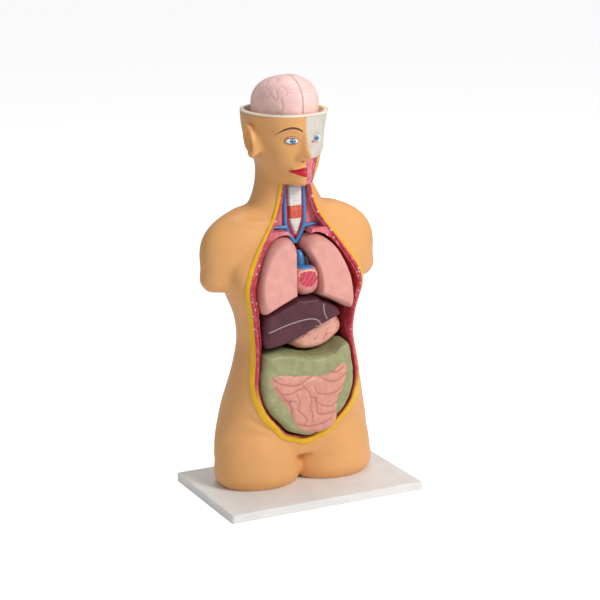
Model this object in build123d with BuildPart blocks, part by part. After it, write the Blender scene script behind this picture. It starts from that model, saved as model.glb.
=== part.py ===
"""Torso anatomy model: a hollow half-figure on a board, with lift-out organs and a lift-out brain.

Millimetres. The origin is the middle of the board's underside, +Z is up, -Y is the figure's
front and +X the figure's left side.
"""

import os
from math import copysign, cos, hypot, pi, radians, sin

from build123d import *

# ---------------------------------------------------------------- driving dimensions
base_length = 250.0  # along X
base_width = 172.0  # along Y
base_thickness = 10.0
base_corner_radius = 2.5
base_edge_chamfer = 0.8

wall = 2.6  # moulded skin
fit_gap = 0.1  # between fixed pieces that butt together
organ_gap = 1.0  # between neighbouring organs, and between an organ and its pocket
seat_gap = 0.3  # between an organ's back and the boss that it rests on

screw_shank_radius = 2.0
screw_head_radius = 4.0
screw_head_height = 2.4
screw_length = 18.0
screw_spacing_x = 96.0
screw_spacing_y = 40.0
screw_row_y = 14.0
sole_thickness = 14.0  # solid foot of each thigh stump, which takes the screws

rim_band = 6.0  # painted fat layer round the opening
neck_band = 4.0  # the same band in the neck
rim_depth = 4.0
rim_proud = 0.8  # how far the band stands out of the skin
cut_face = 3.5  # chest wall seen in section, inside the band
tray_wall = 2.0
cut_step = 1.5  # how far the chest wall's section lies under the skin's surface
tray_floor = 3.0
tray_floor_y = 22.0  # front face of the tray's floor
neck_floor_y = 0.0  # front face of the neck recess's floor
neck_floor_thickness = 4.0

peg_radius = 2.5
peg_clearance = 0.05
peg_hold = 7.0  # length of a peg inside its organ
peg_reach = 8.0  # length of a peg inside its boss
boss_radius = 5.5

organ_back_y = 12.0  # flat back of the organs in the tray
lung_front_y = -36.0
lung_lean = 12.0  # degrees that the front of the lungs leans back
heart_front_y = -29.0
liver_front_y = -37.0
stomach_front_y = -20.0
bowel_front_y = -38.0
small_bowel_depth = 20.0
bowel_top_height = 163.0  # the bowel fills the pocket below this height above the board
colon_joint_x = 11.0  # lowest point of the colon's top, where its two lengths meet
bowel_swell = 3.0  # how far the small intestine stands out of the colon's ring

bowl_wall = 2.2
bowl_rim_height = 2.0
bowl_floor = 418.0  # height of the brain cup's floor above the board
skull_inset = 0.8  # bone and muscle lie this much under the skin's surface
skull_back_y = 12.0  # how far back the dissected half of the face goes
jaw_line = 397.0  # height above the board where bone gives way to muscle
eye_radius = 5.0
eye_x = 17.0
eye_y = -29.2
eye_height = 420.0
nose_reach = 5.0  # how far the nose stands out of the face
nose_half_width = 7.0
nose_base = 401.0
nose_top = 424.0

brain_fissure = 0.6
brain_peg_reach = 6.0

larynx_depth = 5.5
thyroid_proud = 0.6
vessel_bend = 12.0
carotid_radius = 0.75
jugular_radius = 2.1
subclavian_radius = 2.0

section_points = 20
CROWN = [
    (0, 1), (0.2, 1), (0.4, 0.998), (0.56, 0.985), (0.7, 0.955), (0.82, 0.905), (0.91, 0.835),
    (0.97, 0.74), (1, 0.6),
]
FLAT_CROWN = [(0, 1), (0.3, 1), (0.6, 1), (0.78, 0.99), (0.9, 0.965), (0.97, 0.92), (1, 0.86)]
LUNG_CROWN = [(0, 1), (0.25, 1), (0.5, 0.995), (0.7, 0.975), (0.85, 0.935), (0.94, 0.88), (1, 0.78)]
NECK_CROWN = [(0, 1.0), (0.6, 0.98), (1, 0.85)]

# Body sections, each (height above the board, half width, front, back, squareness).
TRUNK = [
    (35, 100.5, -20, 60, 2.2),
    (60, 98.5, -26, 63, 2.3),
    (90, 91.0, -39, 68, 2.3),
    (120, 83.5, -47.5, 65.5, 2.3),
    (150, 76.5, -49, 59, 2.3),
    (180, 70.8, -47, 57, 2.3),
    (210, 74.5, -49, 57, 2.3),
    (240, 83.5, -49, 62, 2.7),
    (258, 86.0, -45, 63, 2.6),
    (285, 84.0, -31, 61, 2.1),
    (305, 74.0, -22, 58, 2.0),
    (325, 56.0, -15, 58, 2.0),
    (345, 42.0, -13, 61, 2.0),
    (365, 35.0, -12.5, 62, 2.0),
    (385, 33.5, -12, 63, 2.0),
]
SHOULDERS = [
    (244, 105.0, -8, 46, 2.4),
    (250, 110.5, -12, 50, 2.4),
    (270, 112.5, -15, 53, 2.4),
    (290, 111.5, -16, 55, 2.4),
    (305, 107.0, -14, 54, 2.4),
    (318, 97.0, -11, 52, 2.3),
    (328, 82.0, -8, 51, 2.2),
    (336, 62.0, -4, 52, 2.1),
]
thigh_spacing = 96.0  # between the middles of the two stumps
THIGH = [  # each (height above the board, half width, front, back)
    (0, 47.0, -25, 53),
    (5, 51.0, -29, 57),
    (30, 52.5, -30, 60),
    (55, 49.0, -27, 60),
    (70, 44.0, -22, 58),
]
# Head sections have one more number, how much their front narrows.
HEAD = [
    (366, 16.0, -31.0, 14, 2.0, 0.30),
    (370, 24.0, -35.0, 40, 2.1, 0.30),
    (380, 31.0, -36.0, 62, 2.1, 0.26),
    (392, 36.0, -36.3, 73, 2.2, 0.20),
    (405, 40.5, -36.5, 80, 2.2, 0.14),
    (422, 45.0, -36.6, 84, 2.2, 0.10),
    (436, 47.0, -36.6, 84.5, 2.2, 0.06),
    (449, 48.5, -36.6, 82, 2.2, 0.0),
]
EAR = [  # each (distance from the middle plane, middle y, half width, middle height, half height)
    (40, 13, 5.0, 420, 11.0),
    (47, 16, 6.0, 421, 14.0),
    (50, 18, 6.5, 422, 15.0),
    (51.5, 19, 5.0, 422, 13.0),
]
BRAIN = [
    (418, 20.0, -8, 46),
    (426, 30.0, -20, 60),
    (438, 35.5, -27.5, 68.5),
    (450, 37.2, -29.5, 71.5),
    (460, 36.8, -30.5, 71.5),
    (470, 34.5, -28.5, 66),
    (479, 29.0, -22, 55),
    (486, 19.0, -11, 37),
    (490, 8.0, 1, 18),
]

# Opening in the front, each (height above the board, half width) up the figure's left side.
opening_bottom = 51.0
opening_top = 365.0
OPENING = [
    (55, 16.0),
    (62, 32.5),
    (74, 44.5),
    (90, 58.5),
    (105, 66.3),
    (120, 70.3),
    (135, 71.2),
    (150, 69.6),
    (165, 67.8),
    (180, 66.8),
    (195, 67.8),
    (210, 69.8),
    (225, 72.6),
    (240, 75.8),
    (255, 75.0),
    (270, 69.0),
    (285, 59.6),
    (300, 49.2),
    (315, 38.6),
    (330, 29.4),
    (345, 24.0),
    (358, 21.4),
]
chest_from = 172.0  # the chest wall shows in section between these heights
chest_to = 300.0

# Lines that part the organs, each (x, height above the board).
RIGHT_DIAPHRAGM = [(-55.5, 215), (-38, 222.5), (-12, 233)]
LEFT_DIAPHRAGM = [(15.5, 232), (34, 223), (57, 211)]
LIVER_EDGE = [(-54, 176), (-43, 177), (-28, 180), (-4, 189), (18, 198), (45, 209)]
BOWEL_TOP = [
    (-56, 168), (-38, 170.5), (-14, 165.5), (11, 160.5), (24, 161.6), (37, 166), (46, 172),
    (53, 172.5), (57, 167),
]
# Outer edges of the lungs, from the diaphragm over the top to the middle.
RIGHT_LUNG = [
    (-60.3, 224), (-61.8, 240), (-60, 256), (-54.5, 271), (-46.5, 286), (-36.5, 297.5), (-25, 304),
    (-14, 303), (-7.5, 293), (-8, 278), (-9.5, 260), (-11.2, 245),
]
LEFT_LUNG = [
    (16.8, 244), (16.5, 257), (14, 270), (8.5, 282), (4.6, 291.4), (9.4, 300), (17, 304.2),
    (27, 302.5), (37, 296), (47.3, 284.5), (55, 268), (60, 252), (61.5, 236), (60.5, 220),
]
LUNG_SPACE_TOP = [
    (-48.5, 288), (-37.5, 300), (-25.2, 306.2), (-13, 305.2), (-5.6, 294.5), (-1.8, 290.5),
    (2, 294), (6.6, 302.8), (17, 306.8), (28, 304.6), (38.4, 298), (49, 286),
]
NECK_RECESS = [
    (-45, 310.6), (-16.5, 310.6), (-11, 304), (-9, 297), (-8, 286),
    (8, 286), (9, 297), (11, 304), (16.5, 310.6), (45, 310.6),
]
# The windpipe's outline and the vessels' middle lines on the figure's right. The left mirrors them.
WINDPIPE = [(-8.4, 364), (-8.4, 345), (-8, 330), (-6.8, 318), (-3.2, 308), (0, 302.5)]
CAROTID = [(-9.3, 364), (-9.3, 330), (-8.3, 317), (-5, 307.1), (-1.8, 301)]
JUGULAR = [(-12.2, 364), (-12.4, 330), (-12, 316), (-8.3, 305.3), (-0.2, 291.8)]
SUBCLAVIAN = [(-12.8, 313.4), (-30, 313.2)]
THYROID_LOW, THYROID_HIGH = 323.0, 338.0
STOMACH = [
    (-14, 172.5), (-8, 168.2), (11, 163.6), (24, 165), (37, 170), (46, 176.6), (52, 182),
    (54.5, 190), (51, 199), (45, 206.5), (32, 202.5), (18, 196), (6, 191.5), (-4, 187), (-12, 180),
]
HEART = [
    (-9.7, 244), (-4, 238), (5, 237), (12.5, 240.5), (14.8, 248), (14.6, 258), (12.2, 266),
    (4, 268), (-4, 267.5), (-8.4, 262), (-9.9, 252),
]
LIVER_SIDE = [(-54, 176), (-56.2, 184), (-56.2, 200), (-54.9, 214.5)]
LIVER_TIP = [(14.5, 231.5), (28, 223.5), (40, 216.5), (45, 209)]
PULMONARY_TRUNK = [
    (262, 0.8, -12, 5.0, 6.0), (272, 0.6, -13, 5.6, 6.2), (280, 0, -13, 4.8, 5.6),
    (286, -1.2, -11, 3.0, 4.0),
]
AORTA = [
    (262, -3, -1, 4.2, 4.2), (274, -3, -2, 4.2, 4.2), (284, -2.6, -3, 3.9, 4.2),
    (289, -2.4, -3.5, 2.6, 3.0),
]
GALLBLADDER = [
    (194.9, 9.5, -34, 1.4, 1.6), (196.2, 9.5, -35, 3.4, 3), (197.6, 9.5, -35.4, 3.9, 3.4),
    (199, 9.3, -35, 3.2, 3), (200.2, 9.2, -34, 1.3, 1.6),
]
LEFT_AURICLE = [
    (258, 10.4, -12, 2.2, 4.0), (266, 9.8, -12, 2.7, 5.0), (273, 9.2, -11.5, 2.0, 4.2),
    (277, 8.2, -11, 1.2, 2.4),
]
SMALL_BOWEL = [
    (-54, 145), (-28, 143), (2, 139.5), (28, 140.5), (49, 149), (50, 131), (42, 110), (36, 95),
    (33, 76), (8, 68), (-19, 76), (-30, 97), (-45, 118), (-54, 135),
]


def above(height):
    """Height over the floor of a height over the board."""
    return base_thickness + height


def moved(points, rise):
    """The points of a line, raised by rise."""
    return [(x, height + rise) for x, height in points]


def superellipse(half_width, front, back, power, taper=0.0):
    """A closed body section in plan. taper narrows its front."""
    middle = (front + back) / 2
    depth = (back - front) / 2
    points = []
    for i in range(section_points):
        angle = 2 * pi * i / section_points
        x = copysign(abs(cos(angle)) ** (2 / power), cos(angle))
        y = copysign(abs(sin(angle)) ** (2 / power), sin(angle))
        narrowing = 1 - taper * max(0.0, -y) ** 2
        points.append((half_width * x * narrowing, middle + depth * y))
    return points


def body_sections(stations, inset=0.0, drop=0.0, x=0.0, back_by=0.0):
    """Faces of the body sections, each drawn in by inset and moved down, sideways or back."""
    faces = []
    for station in stations:
        height, half_width, front, back = station[:4]
        power = station[4] if len(station) > 4 else 2.0
        taper = station[5] if len(station) > 5 else 0.0
        outline = superellipse(
            half_width - inset, front + inset + back_by, back - inset + back_by, power, taper
        )
        with BuildSketch(Plane.XY.offset(above(height) - drop)) as section:
            with BuildLine():
                Spline(*[(px + x, py) for px, py in outline], periodic=True)
            make_face()
        faces.append(section.sketch.face())
    return faces


def half_width_at(height):
    """Half width of the opening at a height."""
    for (low, low_width), (high, high_width) in zip(OPENING, OPENING[1:]):
        if low <= height <= high:
            share = (height - low) / (high - low)
            return low_width + (high_width - low_width) * share
    return OPENING[-1][1]


def band_width(height):
    """Width of the painted band, which narrows towards the neck."""
    share = min(max((height - chest_to + 30) / 30, 0.0), 1.0)
    return rim_band + (neck_band - rim_band) * share


def pocket_inset(height):
    """From the opening's edge to the pocket's wall."""
    rise = min(max((height - chest_from) / 10, 0.0), 1.0)
    fall = min(max((chest_to + 10 - height) / 10, 0.0), 1.0)
    return band_width(height) + tray_wall + (cut_face - tray_wall) * rise * fall


def opening_outline(inset_of, top=opening_top):
    """The opening's outline drawn in by inset_of(height), measured square to its edge."""
    side = [(0.0, opening_bottom)] + [(w, h) for h, w in OPENING if h < top - 1]
    side.append((half_width_at(top) * 0.96, top))
    inner = []
    for i, (w, h) in enumerate(side):
        before = side[i - 1] if i else (-side[1][0], side[1][1])
        after = side[i + 1] if i + 1 < len(side) else (w, h + 1)
        dx, dz = after[0] - before[0], after[1] - before[1]
        length = hypot(dx, dz)
        inset = inset_of(h)
        last = i + 1 == len(side)
        inner.append((w - inset * dz / length, h if last else h + inset * dx / length))
    right = [(-w, h) for w, h in inner[:0:-1]]
    return right + inner


def opening_face(inset_of, y, top=opening_top):
    """A face of the opening's outline, upright at y."""
    points = [(w, above(h)) for w, h in opening_outline(inset_of, top)]
    with BuildSketch(Plane.XZ.offset(-y)) as outline:
        with BuildLine():
            Spline(*points)
            Line(points[-1], points[0])
        make_face()
    return outline.sketch.face()


def closed_face(plane, lines):
    """A face in a plane within lines of points that join end to end, or within one smooth ring."""
    with BuildSketch(plane) as section:
        with BuildLine():
            if len(lines) == 1:
                Spline(*lines[0], periodic=True)
            else:
                for line in lines:
                    Spline(*line) if len(line) > 2 else Line(*line)
        make_face()
    return section.sketch.face()


def organ_sections(lines, back_y, front_y, lean=0.0, crown=CROWN):
    """Upright sections of an organ from its flat back to its crowned front, which leans back."""
    points = [point for line in lines for point in line]
    middle_x = (min(x for x, _ in points) + max(x for x, _ in points)) / 2
    middle_h = (min(h for _, h in points) + max(h for _, h in points)) / 2
    faces = []
    for depth, share in crown:
        tilt = radians(lean * depth)
        plane = Plane(
            (middle_x, back_y + (front_y - back_y) * depth, above(middle_h)),
            x_dir=(1, 0, 0),
            z_dir=(0, -cos(tilt), sin(tilt)),
        )
        placed = [[((x - middle_x) * share, (h - middle_h) * share) for x, h in line] for line in lines]
        faces.append(closed_face(plane, placed))
    return faces


def screw_places():
    """Where the base screws stand."""
    return GridLocations(screw_spacing_x, screw_spacing_y, 2, 2)


os.makedirs("parts", exist_ok=True)

# ---------------------------------------------------------------- board and its screws
with BuildPart() as base_board:
    with BuildSketch():
        RectangleRounded(base_length, base_width, base_corner_radius)
    extrude(amount=base_thickness)
    chamfer(base_board.edges().group_by(Axis.Z)[-1], base_edge_chamfer)
    with BuildSketch(Plane((0, screw_row_y, 0))):
        with screw_places():
            Circle(screw_shank_radius + fit_gap)
    extrude(amount=base_thickness, mode=Mode.SUBTRACT)
    with BuildSketch(Plane((0, screw_row_y, 0))):
        with screw_places():
            Circle(screw_head_radius + 2 * fit_gap)
    extrude(amount=screw_head_height + fit_gap, mode=Mode.SUBTRACT)

# ---------------------------------------------------------------- hollow figure
FIGURE_FRONT = -100.0  # a plane well in front of the figure, where cutters start


def cutter(face, back_y, mode=Mode.SUBTRACT):
    """Cut or keep what lies between the plane in front and back_y, within an upright face."""
    extrude(face, amount=FIGURE_FRONT - back_y, mode=mode)


def ear_sections(side):
    """Upright sections of an ear, from inside the skin outwards."""
    faces = []
    for reach, middle_y, half_width, middle_height, half_height in EAR:
        origin = (side * reach, middle_y, above(middle_height))
        with BuildSketch(Plane(origin, x_dir=(0, 1, 0), z_dir=(1, 0, 0))) as section:
            Ellipse(half_width, half_height)
        faces.append(section.sketch.face())
    return faces


def nose_sections():
    """Level sections of the half nose on the skin side of the face."""
    faces = []
    stations = [
        (nose_base - 3, 0.2, 5.0),
        (nose_base, nose_reach - 1, nose_half_width),
        (nose_base + 4, nose_reach, nose_half_width - 1),
        (nose_top, 0.5, 3.0),
    ]
    for height, reach, width in stations:
        face_y = HEAD[4][2]
        with BuildSketch(Plane.XY.offset(above(height))) as section:
            with BuildLine():
                Polyline(
                    (wall, face_y + wall),
                    (wall, face_y - reach),
                    (-width * 0.35, face_y - reach * 0.8),
                    (-width, face_y + wall),
                    close=True,
                )
            make_face()
        faces.append(section.sketch.face())
    return faces


def dissected_quarter(inset, low, high):
    """Keep only the left front quarter of the head, inset from the cut edges."""
    with BuildSketch(Plane.XY.offset(above(low))) as quarter:
        with Locations((inset, skull_back_y - inset)):
            Rectangle(base_length / 2, base_width, align=(Align.MIN, Align.MAX))
    extrude(quarter.sketch, amount=high - low, mode=Mode.INTERSECT)


skin_top = HEAD[-1][0] - bowl_rim_height
with BuildPart() as torso_shell:
    loft(sections=body_sections(TRUNK))
    loft(sections=body_sections(SHOULDERS))
    loft(sections=body_sections(HEAD))
    loft(sections=nose_sections())
    for side in (-1, 1):
        loft(sections=body_sections(THIGH, x=side * thigh_spacing / 2))
        loft(sections=ear_sections(side))
    # hollow
    loft(sections=body_sections(TRUNK[1:-1], inset=wall), mode=Mode.SUBTRACT)
    loft(sections=body_sections(SHOULDERS[1:], inset=wall, drop=wall), mode=Mode.SUBTRACT)
    loft(sections=body_sections(HEAD[1:], inset=wall), mode=Mode.SUBTRACT)
    thigh_hollow = [(sole_thickness, *THIGH[1][1:])] + THIGH[2:]
    for side in (-1, 1):
        hollow = body_sections(thigh_hollow, inset=wall, x=side * thigh_spacing / 2)
        loft(sections=hollow, mode=Mode.SUBTRACT)
    # opening, open skull and the dissected quarter of the face
    cutter(opening_face(lambda height: 0.0, FIGURE_FRONT), 2.0)
    tray_back_y = tray_floor_y + tray_floor
    cutter(opening_face(lambda height: band_width(height) - fit_gap, FIGURE_FRONT), tray_back_y + fit_gap)
    with BuildSketch(Plane.XY.offset(above(skin_top))):
        Rectangle(base_length, 2 * base_width)
    extrude(amount=2 * bowl_rim_height, mode=Mode.SUBTRACT)
    with BuildSketch(Plane.XY.offset(above(opening_top + 1))):
        with Locations((0, skull_back_y)):
            Rectangle(base_length / 2, base_width, align=(Align.MIN, Align.MAX))
    extrude(amount=skin_top - opening_top, mode=Mode.SUBTRACT)
    with BuildSketch(Plane((0, screw_row_y, above(0)))):
        with screw_places():
            Circle(screw_shank_radius)
    extrude(amount=screw_length - base_thickness, mode=Mode.SUBTRACT)

# ---------------------------------------------------------------- tray in the opening
with BuildPart() as chest_space:
    extrude(opening_face(pocket_inset, tray_floor_y), amount=tray_floor_y - FIGURE_FRONT)
    top_line = [(x, above(height)) for x, height in LUNG_SPACE_TOP]
    with BuildSketch(Plane.XZ.offset(-tray_floor_y)):
        with BuildLine():
            Spline(*top_line)
            Polyline(
                top_line[-1],
                (base_length, top_line[-1][1]),
                (base_length, 0),
                (-base_length, 0),
                (-base_length, top_line[0][1]),
                top_line[0],
            )
        make_face()
    extrude(amount=tray_floor_y - FIGURE_FRONT, mode=Mode.INTERSECT)

PEGS = {  # (x, height above the board) of each organ's pegs
    "right_lung": [(-40, 238), (-30, 280)],
    "left_lung": [(42, 238), (30, 280)],
    "heart": [(2, 251)],
    "liver": [(-36, 198), (6, 214)],
    "stomach": [(34, 182)],
    "bowel": [(-32, 125), (32, 125)],
}
all_pegs = [point for points in PEGS.values() for point in points]


def peg_places(points):
    """Places of pegs in an upright sketch."""
    return Locations(*[(x, above(height)) for x, height in points])


boss_face_y = organ_back_y + seat_gap
neck_back_y = neck_floor_y + neck_floor_thickness
with BuildPart() as neck_space:
    extrude(opening_face(pocket_inset, neck_floor_y), amount=neck_floor_y - FIGURE_FRONT)
    with BuildSketch(Plane.XZ.offset(-neck_floor_y)):
        with BuildLine():
            line = [(x, above(height)) for x, height in NECK_RECESS]
            top = above(opening_top + wall)
            Polyline(*line, (line[-1][0], top), (line[0][0], top), close=True)
        make_face()
    extrude(amount=neck_floor_y - FIGURE_FRONT, mode=Mode.INTERSECT)

with BuildPart() as organ_tray:
    # dish: the body's own form inside the band, cut out to the pocket
    loft(sections=body_sections(TRUNK, inset=cut_step))
    loft(sections=body_sections(SHOULDERS, inset=cut_step))
    cutter(opening_face(band_width, FIGURE_FRONT), tray_floor_y + tray_floor, mode=Mode.INTERSECT)
    with BuildSketch(Plane.XY.offset(above(chest_to + 9))):
        with Locations((0, neck_back_y)):
            Rectangle(base_length, base_width, align=(Align.CENTER, Align.MIN))
    extrude(amount=base_length, mode=Mode.SUBTRACT)
    add(chest_space.part, mode=Mode.SUBTRACT)
    add(neck_space.part, mode=Mode.SUBTRACT)
    with BuildSketch(Plane.XZ.offset(-tray_floor_y)):
        with peg_places(all_pegs):
            Circle(boss_radius)
    extrude(amount=tray_floor_y - boss_face_y)
    with BuildSketch(Plane.XZ.offset(-boss_face_y - peg_reach)):
        with peg_places(all_pegs):
            Circle(peg_radius + peg_clearance)
    extrude(amount=peg_reach, mode=Mode.SUBTRACT)

with BuildPart() as fat_rim:
    loft(sections=body_sections(TRUNK, inset=-rim_proud))
    loft(sections=body_sections(SHOULDERS, inset=-rim_proud))
    cutter(opening_face(lambda height: fit_gap, FIGURE_FRONT), tray_floor_y, mode=Mode.INTERSECT)
    cutter(opening_face(band_width, FIGURE_FRONT), tray_floor_y)
    for stations in (TRUNK, SHOULDERS):
        loft(
            sections=body_sections(stations, inset=-rim_proud, back_by=rim_depth + rim_proud),
            mode=Mode.SUBTRACT,
        )

# ---------------------------------------------------------------- relief of the neck
def mirrored(points):
    """Points of the figure's right as they lie on its left, in the other order."""
    return [(-x, height) for x, height in reversed(points)]


def windpipe_sections(proud=0.0):
    """Upright sections of the larynx, thyroid and windpipe in one."""
    corner = WINDPIPE[0]
    front_y = neck_floor_y - larynx_depth - proud
    lines = [WINDPIPE + mirrored(WINDPIPE[:-1]), [(-corner[0], corner[1]), corner]]
    return organ_sections(lines, neck_floor_y, front_y, crown=NECK_CROWN)


def keep_between(low, high):
    """Keep what lies between two heights over the board."""
    with BuildSketch(Plane.XY.offset(above(low))) as slab:
        Rectangle(base_length, 2 * base_width)
    extrude(slab.sketch, amount=high - low, mode=Mode.INTERSECT)


def run_tube(points, middle_y, radius):
    """Path and section of a round tube along (x, height) points, with eased bends."""
    places = [(x, above(height)) for x, height in points]
    with BuildLine(Plane.XZ.offset(-middle_y)) as path:
        if len(places) > 2:
            FilletPolyline(*places, radius=vessel_bend)
        else:
            Line(*places)
    with BuildSketch(Plane(origin=path.line @ 0, z_dir=path.line % 0)) as ring:
        Circle(radius)
    return path.line, ring.sketch.face()


with BuildPart() as larynx:
    loft(sections=windpipe_sections())
    keep_between(THYROID_HIGH + fit_gap, opening_top)
with BuildPart() as thyroid_gland:
    loft(sections=windpipe_sections(thyroid_proud))
    keep_between(THYROID_LOW, THYROID_HIGH)
with BuildPart() as trachea:
    loft(sections=windpipe_sections())
    keep_between(0, THYROID_LOW - fit_gap)
with BuildPart() as carotid_arteries:
    for line in (CAROTID, mirrored(CAROTID)):
        path, ring = run_tube(line, neck_floor_y - carotid_radius, carotid_radius)
        sweep(ring, path=path)
with BuildPart() as jugular_veins:
    for line in (JUGULAR, mirrored(JUGULAR)):
        path, ring = run_tube(line, neck_floor_y - jugular_radius, jugular_radius)
        sweep(ring, path=path)
    for line in (SUBCLAVIAN, mirrored(SUBCLAVIAN)):
        path, ring = run_tube(line, neck_floor_y - jugular_radius, subclavian_radius)
        sweep(ring, path=path)

# ---------------------------------------------------------------- skull, face and brain
BRAIN_PEG = (15.0, 20.0)  # x and y of the left half's peg


def brain_peg_places():
    """Places of the brain's pegs in a level sketch."""
    return Locations((BRAIN_PEG[0], BRAIN_PEG[1]), (-BRAIN_PEG[0], BRAIN_PEG[1]))


with BuildPart() as brain_space:
    loft(sections=body_sections(HEAD[1:], inset=wall + bowl_wall))
    keep_between(bowl_floor, HEAD[-1][0])

with BuildPart() as skull_bowl:
    loft(sections=body_sections(HEAD[1:], inset=wall + seat_gap))
    keep_between(bowl_floor - bowl_wall, HEAD[-1][0])
    extrude(body_sections(HEAD[-1:], drop=bowl_rim_height)[0], amount=bowl_rim_height)
    add(brain_space.part, mode=Mode.SUBTRACT)
    with BuildSketch(Plane.XY.offset(above(bowl_floor - brain_peg_reach - bowl_wall))):
        with brain_peg_places():
            Circle(boss_radius)
    extrude(amount=brain_peg_reach + bowl_wall)
    with BuildSketch(Plane.XY.offset(above(bowl_floor - brain_peg_reach))):
        with brain_peg_places():
            Circle(peg_radius + peg_clearance)
    extrude(amount=brain_peg_reach, mode=Mode.SUBTRACT)

with BuildPart() as left_eyeball:
    with Locations((eye_x, eye_y, above(eye_height))):
        Sphere(eye_radius)
    loft(sections=body_sections(HEAD[1:], inset=wall), mode=Mode.SUBTRACT)

with BuildPart() as skull_face_half:
    loft(sections=body_sections(HEAD, inset=skull_inset))
    dissected_quarter(fit_gap, jaw_line, skin_top)
    loft(sections=body_sections(HEAD[1:], inset=wall), mode=Mode.SUBTRACT)
    with Locations((eye_x, eye_y, above(eye_height))):
        Sphere(eye_radius + fit_gap, mode=Mode.SUBTRACT)

with BuildPart() as jaw_muscle:
    loft(sections=body_sections(HEAD, inset=skull_inset))
    dissected_quarter(fit_gap, opening_top + 1 + fit_gap, jaw_line - fit_gap)
    loft(sections=body_sections(HEAD[1:], inset=wall), mode=Mode.SUBTRACT)

# ---------------------------------------------------------------- organs
def drill_pegs(points):
    """Holes for an organ's pegs in its flat back."""
    with BuildSketch(Plane.XZ.offset(-organ_back_y)) as holes:
        with peg_places(points):
            Circle(peg_radius)
    extrude(holes.sketch, amount=peg_hold, mode=Mode.SUBTRACT)


def peg_part(points):
    """The pegs of one organ, as loose pins that reach into the tray's bosses."""
    with BuildPart() as pegs:
        start_y = boss_face_y + peg_reach - seat_gap
        with BuildSketch(Plane.XZ.offset(-start_y)):
            with peg_places(points):
                Circle(peg_radius)
        extrude(amount=start_y - organ_back_y + peg_hold)
    return pegs.part


half_gap = organ_gap / 2
right_floor = moved(RIGHT_DIAPHRAGM, half_gap)
with BuildPart() as right_lung:
    lines = [[right_floor[0]] + RIGHT_LUNG + [right_floor[-1]], right_floor[::-1]]
    loft(sections=organ_sections(lines, organ_back_y, lung_front_y, lung_lean, LUNG_CROWN))
    drill_pegs(PEGS["right_lung"])

left_floor = moved(LEFT_DIAPHRAGM, half_gap)
with BuildPart() as left_lung:
    lines = [[left_floor[0]] + LEFT_LUNG + [left_floor[-1]], left_floor[::-1]]
    loft(sections=organ_sections(lines, organ_back_y, lung_front_y, lung_lean, LUNG_CROWN))
    drill_pegs(PEGS["left_lung"])

with BuildPart() as liver:
    top = moved(RIGHT_DIAPHRAGM, -half_gap)
    lines = [
        LIVER_SIDE[:-1] + [top[0]],
        top,
        [top[-1], LIVER_TIP[0]],
        LIVER_TIP,
        [LIVER_TIP[-1]] + LIVER_EDGE[-2::-1],
    ]
    loft(sections=organ_sections(lines, organ_back_y, liver_front_y, crown=FLAT_CROWN))
    drill_pegs(PEGS["liver"])

with BuildPart() as stomach:
    loft(sections=organ_sections([STOMACH], organ_back_y, stomach_front_y))
    drill_pegs(PEGS["stomach"])

with BuildPart() as heart_muscle:
    loft(sections=organ_sections([HEART], organ_back_y, heart_front_y))
    drill_pegs(PEGS["heart"])


def upright_loft(stations):
    """Level ellipses, each (height over the board, x, y, half width, half depth)."""
    faces = []
    for height, x, y, half_width, half_depth in stations:
        with BuildSketch(Plane((x, y, above(height)))) as section:
            Ellipse(half_width, half_depth)
        faces.append(section.sketch.face())
    return faces


with BuildPart() as pulmonary_trunk:
    loft(sections=upright_loft(PULMONARY_TRUNK))
    add(heart_muscle.part, mode=Mode.SUBTRACT)
with BuildPart() as aorta:
    loft(sections=upright_loft(AORTA))
    add(heart_muscle.part, mode=Mode.SUBTRACT)
with BuildPart() as left_auricle:
    loft(sections=upright_loft(LEFT_AURICLE))
    add(heart_muscle.part, mode=Mode.SUBTRACT)

with BuildPart() as gallbladder:
    loft(sections=upright_loft(GALLBLADDER))
    add(liver.part, mode=Mode.SUBTRACT)

with BuildPart() as small_intestine:
    back_y = bowel_front_y + small_bowel_depth
    loft(sections=organ_sections([SMALL_BOWEL], back_y, bowel_front_y - bowel_swell))
with BuildPart() as colon:
    pocket = opening_outline(lambda height: pocket_inset(height) + 2 * organ_gap)
    lower_pocket = [(x, h) for x, h in pocket if h < bowel_top_height]
    lines = [[BOWEL_TOP[0]] + lower_pocket + [BOWEL_TOP[-1]], BOWEL_TOP[::-1]]
    loft(sections=organ_sections(lines, organ_back_y, bowel_front_y, crown=FLAT_CROWN))
    drill_pegs(PEGS["bowel"])
    add(small_intestine.part, mode=Mode.SUBTRACT)
colon_lengths = []
for side in (-1, 1):
    with BuildPart() as length:
        add(colon.part)
        with BuildSketch():
            with Locations((colon_joint_x + side * fit_gap / 2, 0)):
                across = Align.MIN if side > 0 else Align.MAX
                Rectangle(base_length, 2 * base_width, align=(across, Align.CENTER))
        extrude(amount=above(opening_top), mode=Mode.INTERSECT)
    colon_lengths.append(length.part)

brain_stations = [(bowl_floor + seat_gap, *BRAIN[0][1:])] + BRAIN[1:]
brain_pegs = []
brain_halves = []
for side in (-1, 1):
    with BuildPart() as half:
        loft(sections=body_sections(brain_stations))
        with BuildSketch():
            with Locations((side * brain_fissure / 2, 0)):
                across = Align.MIN if side > 0 else Align.MAX
                Rectangle(base_length, 2 * base_width, align=(across, Align.CENTER))
        extrude(amount=above(BRAIN[-1][0]) + wall, mode=Mode.INTERSECT)
        with BuildSketch(Plane((side * BRAIN_PEG[0], BRAIN_PEG[1], above(bowl_floor + seat_gap)))):
            Circle(peg_radius)
        extrude(amount=peg_hold, mode=Mode.SUBTRACT)
    brain_halves.append(half.part)
    with BuildPart() as peg:
        bottom = above(bowl_floor - brain_peg_reach + seat_gap)
        with BuildSketch(Plane((side * BRAIN_PEG[0], BRAIN_PEG[1], bottom))):
            Circle(peg_radius)
        extrude(amount=above(bowl_floor + seat_gap) + peg_hold - bottom)
    brain_pegs.append(peg.part)

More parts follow.
